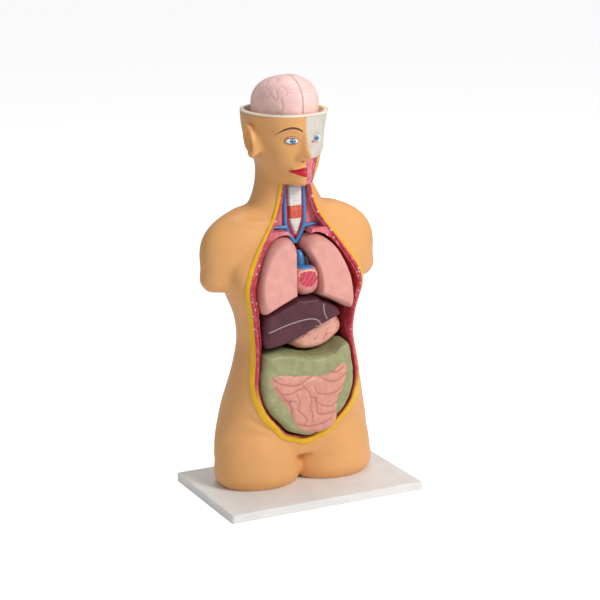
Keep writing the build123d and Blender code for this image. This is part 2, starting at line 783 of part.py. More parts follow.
with BuildPart() as base_screws:
    with BuildSketch(Plane((0, screw_row_y, 0))):
        with screw_places():
            Circle(screw_shank_radius)
    extrude(amount=screw_length)
    with BuildSketch(Plane((0, screw_row_y, 0))):
        with screw_places():
            Circle(screw_head_radius)
    extrude(amount=screw_head_height)

# ---------------------------------------------------------------- write each piece
pieces = {
    "base_board": base_board.part,
    "base_screws": base_screws.part,
    "torso_shell": torso_shell.part,
    "organ_tray": organ_tray.part,
    "fat_rim": fat_rim.part,
    "larynx": larynx.part,
    "thyroid_gland": thyroid_gland.part,
    "trachea": trachea.part,
    "carotid_arteries": carotid_arteries.part,
    "jugular_veins": jugular_veins.part,
    "skull_bowl": skull_bowl.part,
    "skull_face_half": skull_face_half.part,
    "left_eyeball": left_eyeball.part,
    "jaw_muscle": jaw_muscle.part,
    "right_lung": right_lung.part,
    "left_lung": left_lung.part,
    "heart_muscle": heart_muscle.part,
    "pulmonary_trunk": pulmonary_trunk.part,
    "aorta": aorta.part,
    "left_auricle": left_auricle.part,
    "liver": liver.part,
    "gallbladder": gallbladder.part,
    "stomach": stomach.part,
    "large_intestine": colon_lengths[0],
    "descending_colon": colon_lengths[1],
    "small_intestine": small_intestine.part,
    "brain_right": brain_halves[0],
    "brain_left": brain_halves[1],
    "brain_right_peg": brain_pegs[0],
    "brain_left_peg": brain_pegs[1],
}
for organ, points in PEGS.items():
    pieces[organ + "_pegs"] = peg_part(points)
for name, piece in pieces.items():
    piece.label = name
    export_step(piece, "parts/" + name + ".step")
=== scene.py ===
"""Torso anatomy model: visual pieces dressed over the CAD frame."""

from functools import partial, partialmethod
from math import cos, radians, sin

import bmesh
import bpy
import numpy as np
from mathutils import Matrix, Vector
from mathutils.bvhtree import BVHTree


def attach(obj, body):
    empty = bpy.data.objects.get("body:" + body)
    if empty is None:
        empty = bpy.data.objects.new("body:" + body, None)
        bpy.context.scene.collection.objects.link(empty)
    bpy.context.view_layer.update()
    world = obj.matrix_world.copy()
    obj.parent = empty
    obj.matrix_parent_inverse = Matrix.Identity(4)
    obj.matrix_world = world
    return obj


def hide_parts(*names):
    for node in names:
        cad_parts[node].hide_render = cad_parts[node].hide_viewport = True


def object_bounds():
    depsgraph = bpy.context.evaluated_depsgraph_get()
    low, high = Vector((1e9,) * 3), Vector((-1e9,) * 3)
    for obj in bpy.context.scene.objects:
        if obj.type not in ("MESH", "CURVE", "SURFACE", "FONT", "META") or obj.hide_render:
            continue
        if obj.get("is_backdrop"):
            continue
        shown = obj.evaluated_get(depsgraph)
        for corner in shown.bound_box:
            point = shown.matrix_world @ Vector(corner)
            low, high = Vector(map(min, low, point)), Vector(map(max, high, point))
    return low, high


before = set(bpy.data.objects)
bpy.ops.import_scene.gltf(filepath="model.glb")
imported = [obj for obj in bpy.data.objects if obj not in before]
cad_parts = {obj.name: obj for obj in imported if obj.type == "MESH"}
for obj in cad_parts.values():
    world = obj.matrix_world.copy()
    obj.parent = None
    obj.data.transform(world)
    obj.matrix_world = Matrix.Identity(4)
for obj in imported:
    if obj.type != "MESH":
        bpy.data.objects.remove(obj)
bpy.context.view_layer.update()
MM = 0.001
BOARD = 10.0  # thickness of the base board; heights in the tables count from its top

# ---------- tables shared with the CAD source
# height, half width, front, back and roundness of each section; the head's sixth number narrows its front
TRUNK = [
    (35, 100.5, -20, 60, 2.2), (60, 98.5, -26, 63, 2.3), (90, 91, -39, 68, 2.3),
    (120, 83.5, -47.5, 65.5, 2.3), (150, 76.5, -49, 59, 2.3), (180, 70.8, -47, 57, 2.3),
    (210, 74.5, -49, 57, 2.3), (240, 83.5, -49, 62, 2.7), (258, 86, -45, 63, 2.6),
    (285, 84, -31, 61, 2.1), (305, 74, -22, 58, 2), (325, 56, -15, 58, 2), (345, 42, -13, 61, 2),
    (365, 35, -12.5, 62, 2), (385, 33.5, -12, 63, 2),
]
SHOULDERS = [
    (241, 105, -8, 46, 2.4), (247, 110.5, -12, 50, 2.4), (270, 112.5, -15, 53, 2.4),
    (290, 111.5, -16, 55, 2.4), (305, 107, -14, 54, 2.4), (318, 97, -11, 52, 2.3), (328, 82, -8, 51, 2.2),
    (336, 62, -4, 52, 2.1),
]
THIGH = [
    (0, 47, -25, 53, 2), (5, 51, -29, 57, 2), (30, 52.5, -30, 60, 2), (55, 49, -27, 60, 2),
    (70, 44, -22, 58, 2),
]
THIGH_X = 48.0
HEAD = [
    (366, 16, -31, 14, 2, 0.3), (370, 24, -35, 40, 2.1, 0.3), (380, 31, -36, 62, 2.1, 0.26),
    (392, 36, -36.3, 73, 2.2, 0.2), (405, 40.5, -36.5, 80, 2.2, 0.14), (422, 45, -36.6, 84, 2.2, 0.1),
    (436, 47, -36.6, 84.5, 2.2, 0.06), (449, 48.5, -36.6, 82, 2.2, 0),
]
EAR_Y = 8.0
EAR_HEIGHT = 416.0
EAR_LEAN = 0.28
EAR_FLARE = 0.24  # how much wider it is at the top
EAR = [  # reach to the side, y, half width, height and half height
    (40, -5, 5, -2, 11), (46, -2.5, 6.4, -1, 15), (49.5, -0.5, 7.9, 0, 18),
    (51.4, 0.5, 8.2, 0.5, 18.8), (52.9, 1, 6.8, 0.5, 16.8),
]
OPENING = [  # height and half width
    (51, 0), (55, 16), (62, 32.5), (74, 44.5), (90, 58.5), (105, 66.3), (120, 70.3), (135, 71.2),
    (150, 69.6), (165, 67.8), (180, 66.8), (195, 67.8), (210, 69.8), (225, 72.6), (240, 75.8), (255, 75),
    (270, 69), (285, 59.6), (300, 49.2), (315, 38.6), (330, 29.4), (345, 24), (358, 21.4), (368.5, 19.4),
]
SKIN_TOP = 457.0
QUARTER_BACK = 12.0  # the dissected quarter reaches back to here
QUARTER_LOW = 376.0  # its lower cut in the middle
QUARTER_SIDE = 381.0  # its lower cut beside the neck
QUARTER_STEP = 15.0  # where the one becomes the other
OPENING_TOP = 375.0
SNAP = 2.5  # rim points this near to a cut are drawn onto it
WALL = 2.2  # depth of the skin's cut edge
JAW_WALL = 9.0  # its depth under the dissected jaw
BONE_FRONT = -32.0  # how far back the cut through the nose reaches
EYE_HEIGHT = 429.0
MOUTH_HEIGHT = 394.6
SKIN_COLOUR = (0.82, 0.41, 0.15)
VEIN_BLUE = (0.06, 0.25, 0.56)
PUPIL = (0.02, 0.02, 0.03)
IRIS_RIM = (0.03, 0.06, 0.12)

# ---------- mesh helpers (all in millimetres)
LATTICE = np.random.default_rng(11).random((32, 32, 32)) * 2 - 1


def noise(points, size, octaves=1, shift=0.0):
    """Smooth seeded noise from -1 to 1 at each point."""
    total, weight, share = np.zeros(len(points)), 0.0, 1.0
    place = points / size + shift
    for _ in range(octaves):
        cell = np.floor(place).astype(int)
        part = place - cell
        part = part * part * (3 - 2 * part)
        for corner in np.ndindex(2, 2, 2):
            side = np.array(corner)
            blend = np.prod(np.where(side, part, 1 - part), axis=1)
            index = (cell + side) % 32
            total += share * blend * LATTICE[index[:, 0], index[:, 1], index[:, 2]]
        weight += share
        place = place * 2.03 + 11.7
        share *= 0.5
    return total / weight


def spline(points, steps=8):
    """Points along a smooth curve through the given ones."""
    points = np.array(points, float)
    ends = np.vstack([2 * points[0] - points[1], points, 2 * points[-1] - points[-2]])
    out = []
    for a, b, c, d in zip(ends, ends[1:], ends[2:], ends[3:]):
        for t in np.arange(steps) / steps:
            square, cube = 2 * a - 5 * b + 4 * c - d, 3 * b - a - 3 * c + d
            out.append(0.5 * (2 * b + (c - a) * t + square * t**2 + cube * t**3))
    out.append(points[-1])
    return np.array(out)


def curve(line):
    """A smooth curve through (x, height above the board) points."""
    return spline([(px, h + BOARD) for px, h in line])


def line_distance(points, line):
    """Distance of each point from a line in front view, and the share along the line."""
    x, _, z = points.T
    best = np.full(len(x), 1e9)
    along = np.zeros(len(x))
    line = np.array(line, float)
    count = len(line) - 1
    for i, ((ax, az), (bx, bz)) in enumerate(zip(line, line[1:])):
        dx, dz = bx - ax, bz - az
        t = np.clip(((x - ax) * dx + (z - az) * dz) / (dx * dx + dz * dz + 1e-9), 0, 1)
        gap = np.hypot(x - ax - t * dx, z - az - t * dz)
        nearer = gap < best
        best = np.where(nearer, gap, best)
        along = np.where(nearer, (i + t) / count, along)
    return best, along


def nearest(points, lines):
    """Distance of each point from the nearest of several lines."""
    return np.min([line_distance(points, line)[0] for line in lines], axis=0)


def inside(x, z, polygon):
    """Whether each (x, z) is inside a closed polygon."""
    result = np.zeros(len(x), bool)
    for (ax, az), (bx, bz) in zip(polygon, np.roll(polygon, -1, axis=0)):
        crosses = (az > z) != (bz > z)
        edge_x = ax + (z - az) * (bx - ax) / (bz - az if bz != az else 1e-9)
        result ^= crosses & (x < edge_x)
    return result


def bump(distance, width):
    """A soft bell that is 1 at distance 0."""
    return np.exp(-((distance / width) ** 2))


def mound(a, b, middle_a, middle_b, width_a, width_b):
    """A soft oval bell in two directions."""
    return np.exp(-(np.hypot((a - middle_a) / width_a, (b - middle_b) / width_b) ** 2))


def ramp(value, low, high):
    """0 below low, 1 above high, eased between."""
    t = np.clip((value - low) / (high - low), 0, 1)
    return t * t * (3 - 2 * t)


def fade(value, low, high):
    """1 below low, 0 above high, eased between."""
    return 1 - ramp(value, low, high)


def around(sides):
    return np.arange(sides) * 2 * np.pi / sides


def squared_off(value, power):
    """The value raised to a power, with its sign kept."""
    return np.sign(value) * np.abs(value) ** power


def unit(rows):
    return rows / np.linalg.norm(rows, axis=1)[:, None]


def add_object(name, data):
    obj = bpy.data.objects.new(name, data)
    bpy.context.scene.collection.objects.link(obj)
    return obj


def make_object(name, points, faces):
    mesh = bpy.data.meshes.new(name)
    mesh.from_pydata([tuple(p) for p in np.asarray(points) * MM], [], faces)
    return add_object(name, mesh)


def join_parts(name, parts):
    points, faces, start = [], [], 0
    for part_points, part_faces in parts:
        points.append(np.asarray(part_points))
        faces += [tuple(start + i for i in face) for face in part_faces]
        start += len(part_points)
    return make_object(name, np.vstack(points), faces)


def read(items, key):
    out = np.empty(len(items) * 3)
    items.foreach_get(key, out)
    return out.reshape(-1, 3)


def places(obj):
    return read(obj.data.vertices, "co") / MM


def normals(obj):
    return read(obj.data.vertex_normals, "vector")


def face_corners(obj):
    return [tuple(face.vertices) for face in obj.data.polygons]


def node_copy(name, *nodes):
    """A new object with the joined meshes of these CAD nodes."""
    sources = [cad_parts[node] for node in nodes]
    return join_parts(name, [(places(obj), face_corners(obj)) for obj in sources])


def put(obj, points):
    obj.data.vertices.foreach_set("co", (np.asarray(points) * MM).ravel())
    obj.data.update()


def push(obj, amount):
    """Moves each point along its normal."""
    put(obj, places(obj) + normals(obj) * amount[:, None])


def remesh(obj, size):
    """Rebuilds the mesh from even cells of this size, as one closed skin."""
    step = obj.modifiers.new("remesh", "REMESH")
    step.mode = "VOXEL"
    step.voxel_size = size * MM
    graph = bpy.context.evaluated_depsgraph_get()
    mesh = bpy.data.meshes.new_from_object(obj.evaluated_get(graph))
    obj.modifiers.clear()
    obj.data = mesh
    obj.data.materials.clear()


def relax(obj, rounds, weight=None, keep_size=True):
    """Evens out a mesh. weight says how much each point may move; keep_size pushes back the shrinkage."""
    edges = np.empty(len(obj.data.edges) * 2, int)
    obj.data.edges.foreach_get("vertices", edges)
    a, b = edges.reshape(-1, 2).T
    points = places(obj)
    degree = np.bincount(np.concatenate([a, b]), minlength=len(points))[:, None]
    free = 1 if weight is None else weight[:, None]
    steps = (0.5 * free, -0.53 * free) if keep_size else (0.5 * free,)
    count = len(points)
    for _ in range(rounds):
        for amount in steps:
            mean = np.empty_like(points)
            for k in range(3):
                mean[:, k] = np.bincount(a, points[b, k], count) + np.bincount(b, points[a, k], count)
            points = points + amount * (mean / degree - points)
    put(obj, points)


def attribute(obj, name, values):
    layer = obj.data.attributes.new(name, "FLOAT", "POINT")
    layer.data.foreach_set("value", np.asarray(values, np.float32))


def tube_parts(path, radius, sides=16):
    """A closed round tube along points; radius may differ at each point."""
    path = np.array(path, float)
    radius = np.broadcast_to(radius, len(path))
    points = []
    for place, ahead, r in zip(path, unit(np.gradient(path, axis=0)), radius):
        across = np.cross(ahead, (0, -1, 0))
        across /= np.linalg.norm(across)
        rise = np.cross(across, ahead)
        for i in range(sides):
            turn = 2 * np.pi * i / sides
            points.append(place + r * (across * cos(turn) + rise * sin(turn)))
    return points, ring_faces(len(path), sides)


def ring_faces(rings, sides):
    """Faces of a closed tube of rings, with its two end caps."""
    faces = []
    for j in range(rings - 1):
        for i in range(sides):
            k = (i + 1) % sides
            faces.append((j * sides + i, j * sides + k, (j + 1) * sides + k, (j + 1) * sides + i))
    faces.append(tuple(range(sides - 1, -1, -1)))
    faces.append(tuple(range((rings - 1) * sides, rings * sides)))
    return faces


# ---------- shaders
def add_node(tree, kind, numbers={}, links={}, **settings):
    """A new shader node with its settings, the numbers on its inputs and the sockets linked to them."""
    node = tree.nodes.new("ShaderNode" + kind)
    for key, value in settings.items():
        setattr(node, key, value)
    for key, value in numbers.items():
        node.inputs[key].default_value = value
    for key, socket in links.items():
        tree.links.new(socket, node.inputs[key])
    return node


class Value:
    """A number in a shader tree, so that painted shapes are written as plain sums."""

    def __init__(self, tree, socket):
        self.tree = tree
        self.socket = socket

    def math(self, kind, *others):
        node = add_node(self.tree, "Math", operation=kind)
        for slot, item in zip(node.inputs, (self, *others)):
            if isinstance(item, Value):
                self.tree.links.new(item.socket, slot)
            else:
                slot.default_value = item
        return Value(self.tree, node.outputs[0])

    __add__ = partialmethod(math, "ADD")
    __sub__ = partialmethod(math, "SUBTRACT")
    __mul__ = partialmethod(math, "MULTIPLY")
    __truediv__ = partialmethod(math, "DIVIDE")
    power = partialmethod(math, "POWER")
    absolute = partialmethod(math, "ABSOLUTE")
    least = partialmethod(math, "MINIMUM")
    most = partialmethod(math, "MAXIMUM")

    def hypot(self, other):
        return (self * self + other * other).power(0.5)

    def rise(self, low, high):
        """0 up to low, 1 from high on."""
        numbers, links = {"From Min": low, "From Max": high}, {"Value": self.socket}
        node = add_node(self.tree, "MapRange", numbers, links, interpolation_type="SMOOTHSTEP")
        return Value(self.tree, node.outputs["Result"])

    def fall(self, low, high):
        """1 up to low, 0 from high on."""
        return self.rise(low, high) * -1.0 + 1.0


class Paint:
    """A material under way: a plastic body colour with layers painted over it.

    mottle is how far the body colour varies and the size of its patches; grain is the height and the
    size of the fine bumps.
    """

    def __init__(self, name, colour, rough=0.42, mottle=(0.05, 14.0), grain=(0.6, 1.2), coat=0.12):
        self.material = bpy.data.materials.new(name)
        self.material.use_nodes = True
        self.tree = self.material.node_tree
        self.add = partial(add_node, self.tree)
        self.shader = self.tree.nodes["Principled BSDF"]
        finish = {"IOR": 1.48, "Specular IOR Level": 0.32, "Coat Weight": coat, "Coat Roughness": 0.18}
        for key, value in finish.items():
            self.shader.inputs[key].default_value = value
        where = self.add("TexCoord").outputs["Object"]
        scale = self.add("VectorMath", {"Scale": 1 / MM}, {0: where}, operation="SCALE")
        self.place = scale.outputs["Vector"]
        self.x, self.y, self.z = self.split(self.place)
        spread, patch = mottle
        self.colour = self.add("RGB").outputs[0]
        self.colour.default_value = (*[c * (1 - 1.6 * spread) for c in colour], 1)
        self.layer([min(1.0, c * (1 + spread)) for c in colour], self.noise(patch, 3.0).rise(0.3, 0.7))
        self.rough = self.noise(patch * 0.4, 2.0) * 0.12 + (rough - 0.06)
        self.height = self.noise(grain[1], 3.0) * grain[0]

    def split(self, vector):
        parts = self.add("SeparateXYZ", links={0: vector})
        return [Value(self.tree, socket) for socket in parts.outputs]

    def stretched(self, stretch):
        """The place with each axis scaled by its own factor."""
        return self.add("Mapping", {"Scale": stretch}, {"Vector": self.place}).outputs["Vector"]

    def noise(self, size, detail=2.0, stretch=None):
        place = self.stretched(stretch) if stretch else self.place
        node = self.add("TexNoise", {"Scale": 1 / size, "Detail": detail}, {"Vector": place})
        return Value(self.tree, node.outputs["Fac"])

    def cells(self, size, stretch):
        node = self.add("TexVoronoi", {"Scale": 1 / size}, {"Vector": self.stretched(stretch)})
        return Value(self.tree, node.outputs["Distance"])

    def attribute(self, name):
        return Value(self.tree, self.add("Attribute", attribute_name=name).outputs["Fac"])

    def facing_y(self):
        """The surface normal's part along the model's Y axis."""
        return self.split(self.add("TexCoord").outputs["Normal"])[1]

    def layer(self, colour, amount):
        links = {"Factor": amount.socket, 6: self.colour}
        self.colour = self.add("Mix", {7: (*colour, 1)}, links, data_type="RGBA").outputs[2]

    def done(self, strength, depth):
        numbers = {"Strength": strength, "Distance": depth * MM}
        bumps = self.add("Bump", numbers, {"Height": self.height.socket})
        self.tree.links.new(self.colour, self.shader.inputs["Base Color"])
        self.tree.links.new(self.rough.socket, self.shader.inputs["Roughness"])
        self.tree.links.new(bumps.outputs["Normal"], self.shader.inputs["Normal"])
        return self.material


def dress_node(node, material):
    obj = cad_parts[node]
    for place in obj.material_slots:
        place.material = material
    if not obj.material_slots:
        obj.data.materials.append(material)


def piece(obj, material, body, slot, *nodes, layers={}):
    """The object stands for these CAD nodes and moves with a body; layers become its attributes."""
    for key, make in layers.items():
        attribute(obj, key, make(places(obj)))
    obj.data.materials.clear()
    obj.data.materials.append(material)
    obj.data.polygons.foreach_set("use_smooth", [True] * len(obj.data.polygons))
    obj.data.update()
    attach(obj, body)
    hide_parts(*nodes)


# ---------- skin
def between(stations, step=3.0):
    """Stations filled in along a smooth curve, every few millimetres of height."""
    table = np.array(stations, float)
    heights = table[:, 0]
    slopes = np.gradient(table, heights, axis=0)
    out = []
    for i in range(len(table) - 1):
        span = heights[i + 1] - heights[i]
        for t in np.arange(0, 1, step / span if span > step else 1):
            out.append(
                (2 * t**3 - 3 * t**2 + 1) * table[i] + (t**3 - 2 * t**2 + t) * span * slopes[i]
                + (3 * t**2 - 2 * t**3) * table[i + 1] + (t**3 - t**2) * span * slopes[i + 1]
            )
    out.append(table[-1])
    return out


def body_part(stations, middle_x=0.0, sides=96):
    points = []
    rows = between(stations)
    turn = around(sides)
    for row in rows:
        height, half_width, front, back, power = row[:5]
        taper = row[5] if len(row) > 5 else 0.0
        y = squared_off(np.sin(turn), 2 / power)
        x = squared_off(np.cos(turn), 2 / power) * (1 - taper * np.maximum(0, -y) ** 2)
        depth = (front + back) / 2 + (back - front) / 2 * y
        points.append(np.column_stack([middle_x + half_width * x, depth, np.full(sides, height + BOARD)]))
    return np.vstack(points), ring_faces(len(rows), sides)


def ear_part(side, sides=40):
    points = []
    turn = around(sides)
    for reach, y, half_width, height, half_height in EAR:
        up = half_height * np.sin(turn)
        # wide at the top, narrow at the lobe, and turned a little to the front
        across = half_width * np.cos(turn) * side * (1 + EAR_FLARE * np.sin(turn))
        depth = EAR_Y + y + across + EAR_LEAN * up
        rise = BOARD + EAR_HEIGHT + height + up
        points.append(np.column_stack([side * (reach + 0.16 * across), depth, rise]))
    return np.vstack(points), ring_faces(len(EAR), sides)


skin = join_parts("torso_skin", [
    body_part(TRUNK), body_part(SHOULDERS), body_part(HEAD),
    body_part(THIGH, THIGH_X), body_part(THIGH, -THIGH_X), ear_part(-1),
])
remesh(skin, 1.7)
x, y, z = places(skin).T
# joins of neck, jaw, arms and thighs are eased; the stump rims and the skull rim stay crisp
ease = 0.25 + 0.75 * ramp(z, 300, 330) * fade(z, 392, 402)
ease += 0.6 * bump(z - 268, 22) * (np.abs(x) < 100)
ease *= fade(z, 450, 455)
ease *= ramp(z, 12.5, 17)
ease *= 1 - 0.93 * ramp(np.abs(x), 45, 48) * ramp(z, 402, 408) * fade(z, 449, 452)
relax(skin, 34, weight=np.clip(ease, 0, 1), keep_size=False)


def centres(work):
    return np.array([face.calc_center_median()[:] for face in work.faces]).T / MM


def refine_face_and_ear(obj):
    """Splits the cells there into smaller ones, for finer relief."""
    work = bmesh.new()
    work.from_mesh(obj.data)
    x, y, z = centres(work)
    on_face = (y < -4) & (x < 4) & (z > 374) & (z < 452)
    on_ear = (x < -45.5) & (z > 402) & (z < 452)
    for face, take in zip(work.faces, on_face | on_ear):
        face.tag = bool(take)
    edges = [edge for edge in work.edges if any(face.tag for face in edge.link_faces)]
    bmesh.ops.subdivide_edges(work, edges=edges, cuts=1, use_grid_fill=True)
    work.to_mesh(obj.data)
    work.free()


refine_face_and_ear(skin)


def face_relief(x, y, z):
    """How far the skin half of the face stands out, in millimetres."""
    front = ramp(-y, 4, 20) * ramp(z, 366, 377)
    out = np.zeros(len(x))
    # cheek
    out += 1.6 * bump(np.hypot(x + 27, (z - 408) * 0.8), 13)
    # brow ridge, the socket under it, the ball of the eye and its upper lid
    brow_z = 440 + 4.5 * bump(x + 18, 10)
    out += 1.3 * bump(z - brow_z, 5) * ramp(-x, 3, 8) * fade(-x, 30, 38)
    out -= 3.4 * mound(x, z, -17, EYE_HEIGHT, 13.5, 8.5)
    ball = np.hypot((x + 16) / 8.0, (z - EYE_HEIGHT) / 5.2)
    out += 3.0 * np.clip(1 - ball**2, 0, 1) ** 0.6
    lid = np.abs(z - (EYE_HEIGHT + 5.2 * np.sqrt(np.clip(1 - ((x + 16) / 10.5) ** 2, 0, 1)) + 0.8))
    out += 0.8 * bump(lid, 1.4) * (np.abs(x + 16) < 10.5)
    # nose: bridge, tip, wing and nostril
    bridge = ramp(z, 408, 414) * fade(z, 434, 446)
    slope = (440 - z) / 30
    out += bridge * np.clip(1.8 + 6.0 * slope, 0, 7.0) * bump(x, 4.2 + 1.5 * slope)
    out += 7.2 * bump(np.hypot(x * 0.95, z - 411.5), 6.2)
    out += 3.2 * bump(np.hypot(x + 7.4, (z - 409.5) * 1.05), 3.9)
    out -= 2.6 * bump(np.hypot((x + 4.4) * 0.9, z - 405.4), 2.5)
    # upper lip groove, lips, the crease between them, and the chin
    out -= 0.5 * bump(x, 1.8) * bump(z - 402, 3)
    t = np.clip((x + 17.5) / 17.5, 0, 1)
    crease = MOUTH_HEIGHT + 0.5 * np.sin(np.pi * t)
    mouth = ramp(x, -19, -12) * ramp(z, 384, 388) * fade(z, 399, 402)
    out += mouth * (1.9 * bump(z - crease - 2.0, 2.6) + 2.3 * bump(z - crease + 3.2, 3.4))
    out -= 1.5 * bump(z - crease, 0.9) * ramp(x, -19, -14)
    out -= 1.4 * bump(z - 383.6, 2.6) * bump(x, 14)
    out += 2.6 * bump(np.hypot(x, (z - 379.5) * 0.9), 8.5)
    return out * front * (x < 2.5)


def skin_relief(points):
    """Displacement of the skin along its normal."""
    x, y, z = points.T
    wide = np.abs(x)
    out = face_relief(x, y, z)
    back = ramp(y, 20, 40)
    # spine, the long muscles beside it, shoulder blades, buttocks and the fold under them
    out -= back * 3.2 * bump(x, 7) * ramp(z, 118, 150) * fade(z, 300, 330)
    out += back * 2.2 * bump(wide - 15, 8) * ramp(z, 130, 160) * fade(z, 230, 260)
    for side in (-1, 1):
        out += back * 3.4 * mound(x, z, side * (44 + 0.12 * (z - 280)), 282, 17, 30)
        out += back * 8.5 * mound(x, z, side * 41, 98, 33, 30)
    out -= back * 8 * bump(x, 5.5) * ramp(z, 50, 62) * fade(z, 112, 132)
    out -= back * 2.6 * bump(z - (62 + 0.004 * (wide - 42) ** 2), 4) * bump(wide - 44, 26)
    # collar bones, chest, armpit fold and groin
    front = ramp(-y, -14, 2)
    bone = 331 + 0.02 * wide
    out += front * 1.3 * bump(z - bone, 4.5) * ramp(wide, 20, 34) * fade(wide, 70, 92)
    out -= front * 1.2 * bump(z - bone - 8, 6) * bump(wide - 46, 16)
    out += front * 2.2 * mound(wide, z, 80, 276, 13, 20)
    fold = 66 + 0.5 * (wide - 8)
    out -= front * 1.7 * bump((z - fold) * 0.9, 4.2) * ramp(wide, 6, 14) * fade(wide, 66, 82)
    # upper arm: the shoulder muscle ends in a soft dip
    out -= 1.3 * bump(np.hypot(y - 18, z - 276) * 0.8, 13) * ramp(wide, 100, 108)
    # ear: raised rim, hollow, lobe
    up = z - BOARD - EAR_HEIGHT
    across = y - EAR_Y - EAR_LEAN * up
    reach = np.hypot(across / (7.6 * (1 + EAR_FLARE * np.clip(up / 18, -1, 1))), up / 18)
    on_ear = ramp(-x, 46, 49) * (reach < 1.3)
    out -= on_ear * 4.2 * mound(across, up, -1, -1, 3.4, 8.5)
    out -= on_ear * 1.6 * bump(reach - 0.62, 0.13) * ramp(up, -2, 4)
    out += on_ear * 1.9 * bump(reach - 0.92, 0.16) * ramp(up + 0.6 * across, -8, -2)
    out += on_ear * 1.2 * bump(np.hypot(across - 1.5, up + 14), 4)
    # the neck is slim under the dissected jaw
    out -= 3.2 * ramp(x, 14, 24) * bump(z - 378, 13) * ramp(-y, -40, -22)
    return out


push(skin, skin_relief(places(skin)))
relax(skin, 2)


def band_line(count=230):
    """The opening's edge in front view, from the left of the neck down and up its right."""
    half = spline([(w, h + BOARD) for h, w in OPENING][1:], 12)
    bottom = spline([(-16, 65), (-8, 61.6), (0, 60.9), (8, 61.6), (16, 65)], 12)
    line = np.vstack([half[::-1], bottom[::-1][1:-1], half * (-1, 1)])
    length = np.concatenate([[0], np.cumsum(np.hypot(*np.diff(line, axis=0).T))])
    even = np.linspace(0, length[-1], count)
    return np.column_stack([np.interp(even, length, line[:, k]) for k in (0, 1)])


def inset_line(line, distance):
    """The same line moved inwards."""
    ahead = unit(np.gradient(line, axis=0))
    return line + distance * np.column_stack([ahead[:, 1], -ahead[:, 0]])


edge = band_line()
skin_tree = BVHTree.FromPolygons([Vector(p) for p in places(skin)], face_corners(skin))


def front_hit(x, z):
    """Where the skin is met from the front, and its normal there."""
    for nudge in (0.0, 0.6, -0.6, 1.5, -1.5):
        hit, normal, _, _ = skin_tree.ray_cast(Vector((x, -120.0, z + nudge)), Vector((0, 1, 0)))
        if hit is not None and hit.y < 30:
            return np.array(hit), np.array(normal)


def band_mesh():
    """A rounded strip that lies on the skin along the edge of the opening."""
    widths = 6.4 - 2.0 * ramp(edge[:, 1], 280, 312)
    hits, ups = [], []
    for px, pz in inset_line(edge, (widths / 2 - 0.5)[:, None]):
        hit, normal = front_hit(px * 0.999, min(pz, OPENING_TOP - 1))
        hits.append(np.array([px, hit[1], pz]))
        ups.append(normal)
    hits, ups = np.array(hits), np.array(ups)
    for _ in range(12):
        ups[1:-1] = (ups[:-2] + 2 * ups[1:-1] + ups[2:]) / 4
        hits[1:-1, 1] = (hits[:-2, 1] + 2 * hits[1:-1, 1] + hits[2:, 1]) / 4
    ups[:, 1] = np.minimum(ups[:, 1], -0.45)
    ups = unit(ups)
    across = unit(np.cross(ups, unit(np.gradient(hits, axis=0))))
    sides = 20
    turn = around(sides)
    profile_w, profile_h = squared_off(np.cos(turn), 0.8), squared_off(np.sin(turn), 0.8)
    points = []
    for place, up, side, width in zip(hits, ups, across, widths):
        half = (width + 1.0) / 2
        stretch = 1 / max(np.hypot(side[0], side[2]), 0.6)
        rise = np.where(profile_h > 0, 1.5, 3.2) * profile_h
        points.append(place + np.outer(profile_w * half * stretch, side) + np.outer(rise, up))
    obj = make_object("opening_band", np.vstack(points), ring_faces(len(points), sides))
    attribute(obj, "inward", -np.tile(profile_w, len(points)))
    return obj


band = band_mesh()

# cut the opening, the skull and the dissected quarter out of the skin
hole = inset_line(edge, 3.0)
work = bmesh.new()
work.from_mesh(skin.data)
cx, cy, cz = centres(work)
gone = cz > SKIN_TOP - 0.6
gone |= (cx > 0) & (cy < QUARTER_BACK) & (cz > np.where(cx < QUARTER_STEP, QUARTER_LOW, QUARTER_SIDE))
gone |= inside(cx, cz, hole) & (cy < 0) & (cz < OPENING_TOP)
gone |= (cx > 0) & (cx < 18) & (cy < 0) & (cz > OPENING_TOP - 3)
bmesh.ops.delete(work, geom=[f for f, g in zip(list(work.faces), gone) if g], context="FACES")
rims = [e for e in work.edges if e.is_boundary]
for vert in {v for e in rims for v in e.verts}:
    low = (QUARTER_LOW if vert.co.x < QUARTER_STEP * MM else QUARTER_SIDE) * MM
    if vert.co.z > (SKIN_TOP - 3.5) * MM:
        vert.co.z = (SKIN_TOP - 0.05) * MM
    elif vert.co.z > (QUARTER_LOW - SNAP) * MM:
        if abs(vert.co.x) < SNAP * MM and vert.co.y < 0.010:
            vert.co.x = 0.0
        elif abs(vert.co.y - QUARTER_BACK * MM) < SNAP * MM and vert.co.x > 0:
            vert.co.y = QUARTER_BACK * MM
        elif abs(vert.co.z - low) < SNAP * MM:
            vert.co.z = low
work.normal_update()
outwards = {vert.co.to_tuple(7): vert.normal.copy() for edge in rims for vert in edge.verts}
wall = bmesh.ops.extrude_edge_only(work, edges=rims)
for vert in [v for v in wall["geom"] if isinstance(v, bmesh.types.BMVert)]:
    outward = outwards[vert.co.to_tuple(7)]
    if vert.co.z > (SKIN_TOP - 1) * MM:
        outward.z = 0
    if abs(vert.co.x) < 0.1 * MM and vert.co.y < 0 and vert.co.z > (QUARTER_LOW - 3) * MM:
        # the cut face of nose, lips and chin reaches back to the bone
        vert.co.y = max(vert.co.y + WALL * MM, BONE_FRONT * MM)
    else:
        # the wall reaches in under the dissected jaw, so that no gap shows beside it
        under_jaw = vert.co.x > 20 * MM and abs(vert.co.z - 384 * MM) < 12 * MM
        vert.co -= outward * (JAW_WALL if under_jaw else WALL) * MM
work.to_mesh(skin.data)
work.free()


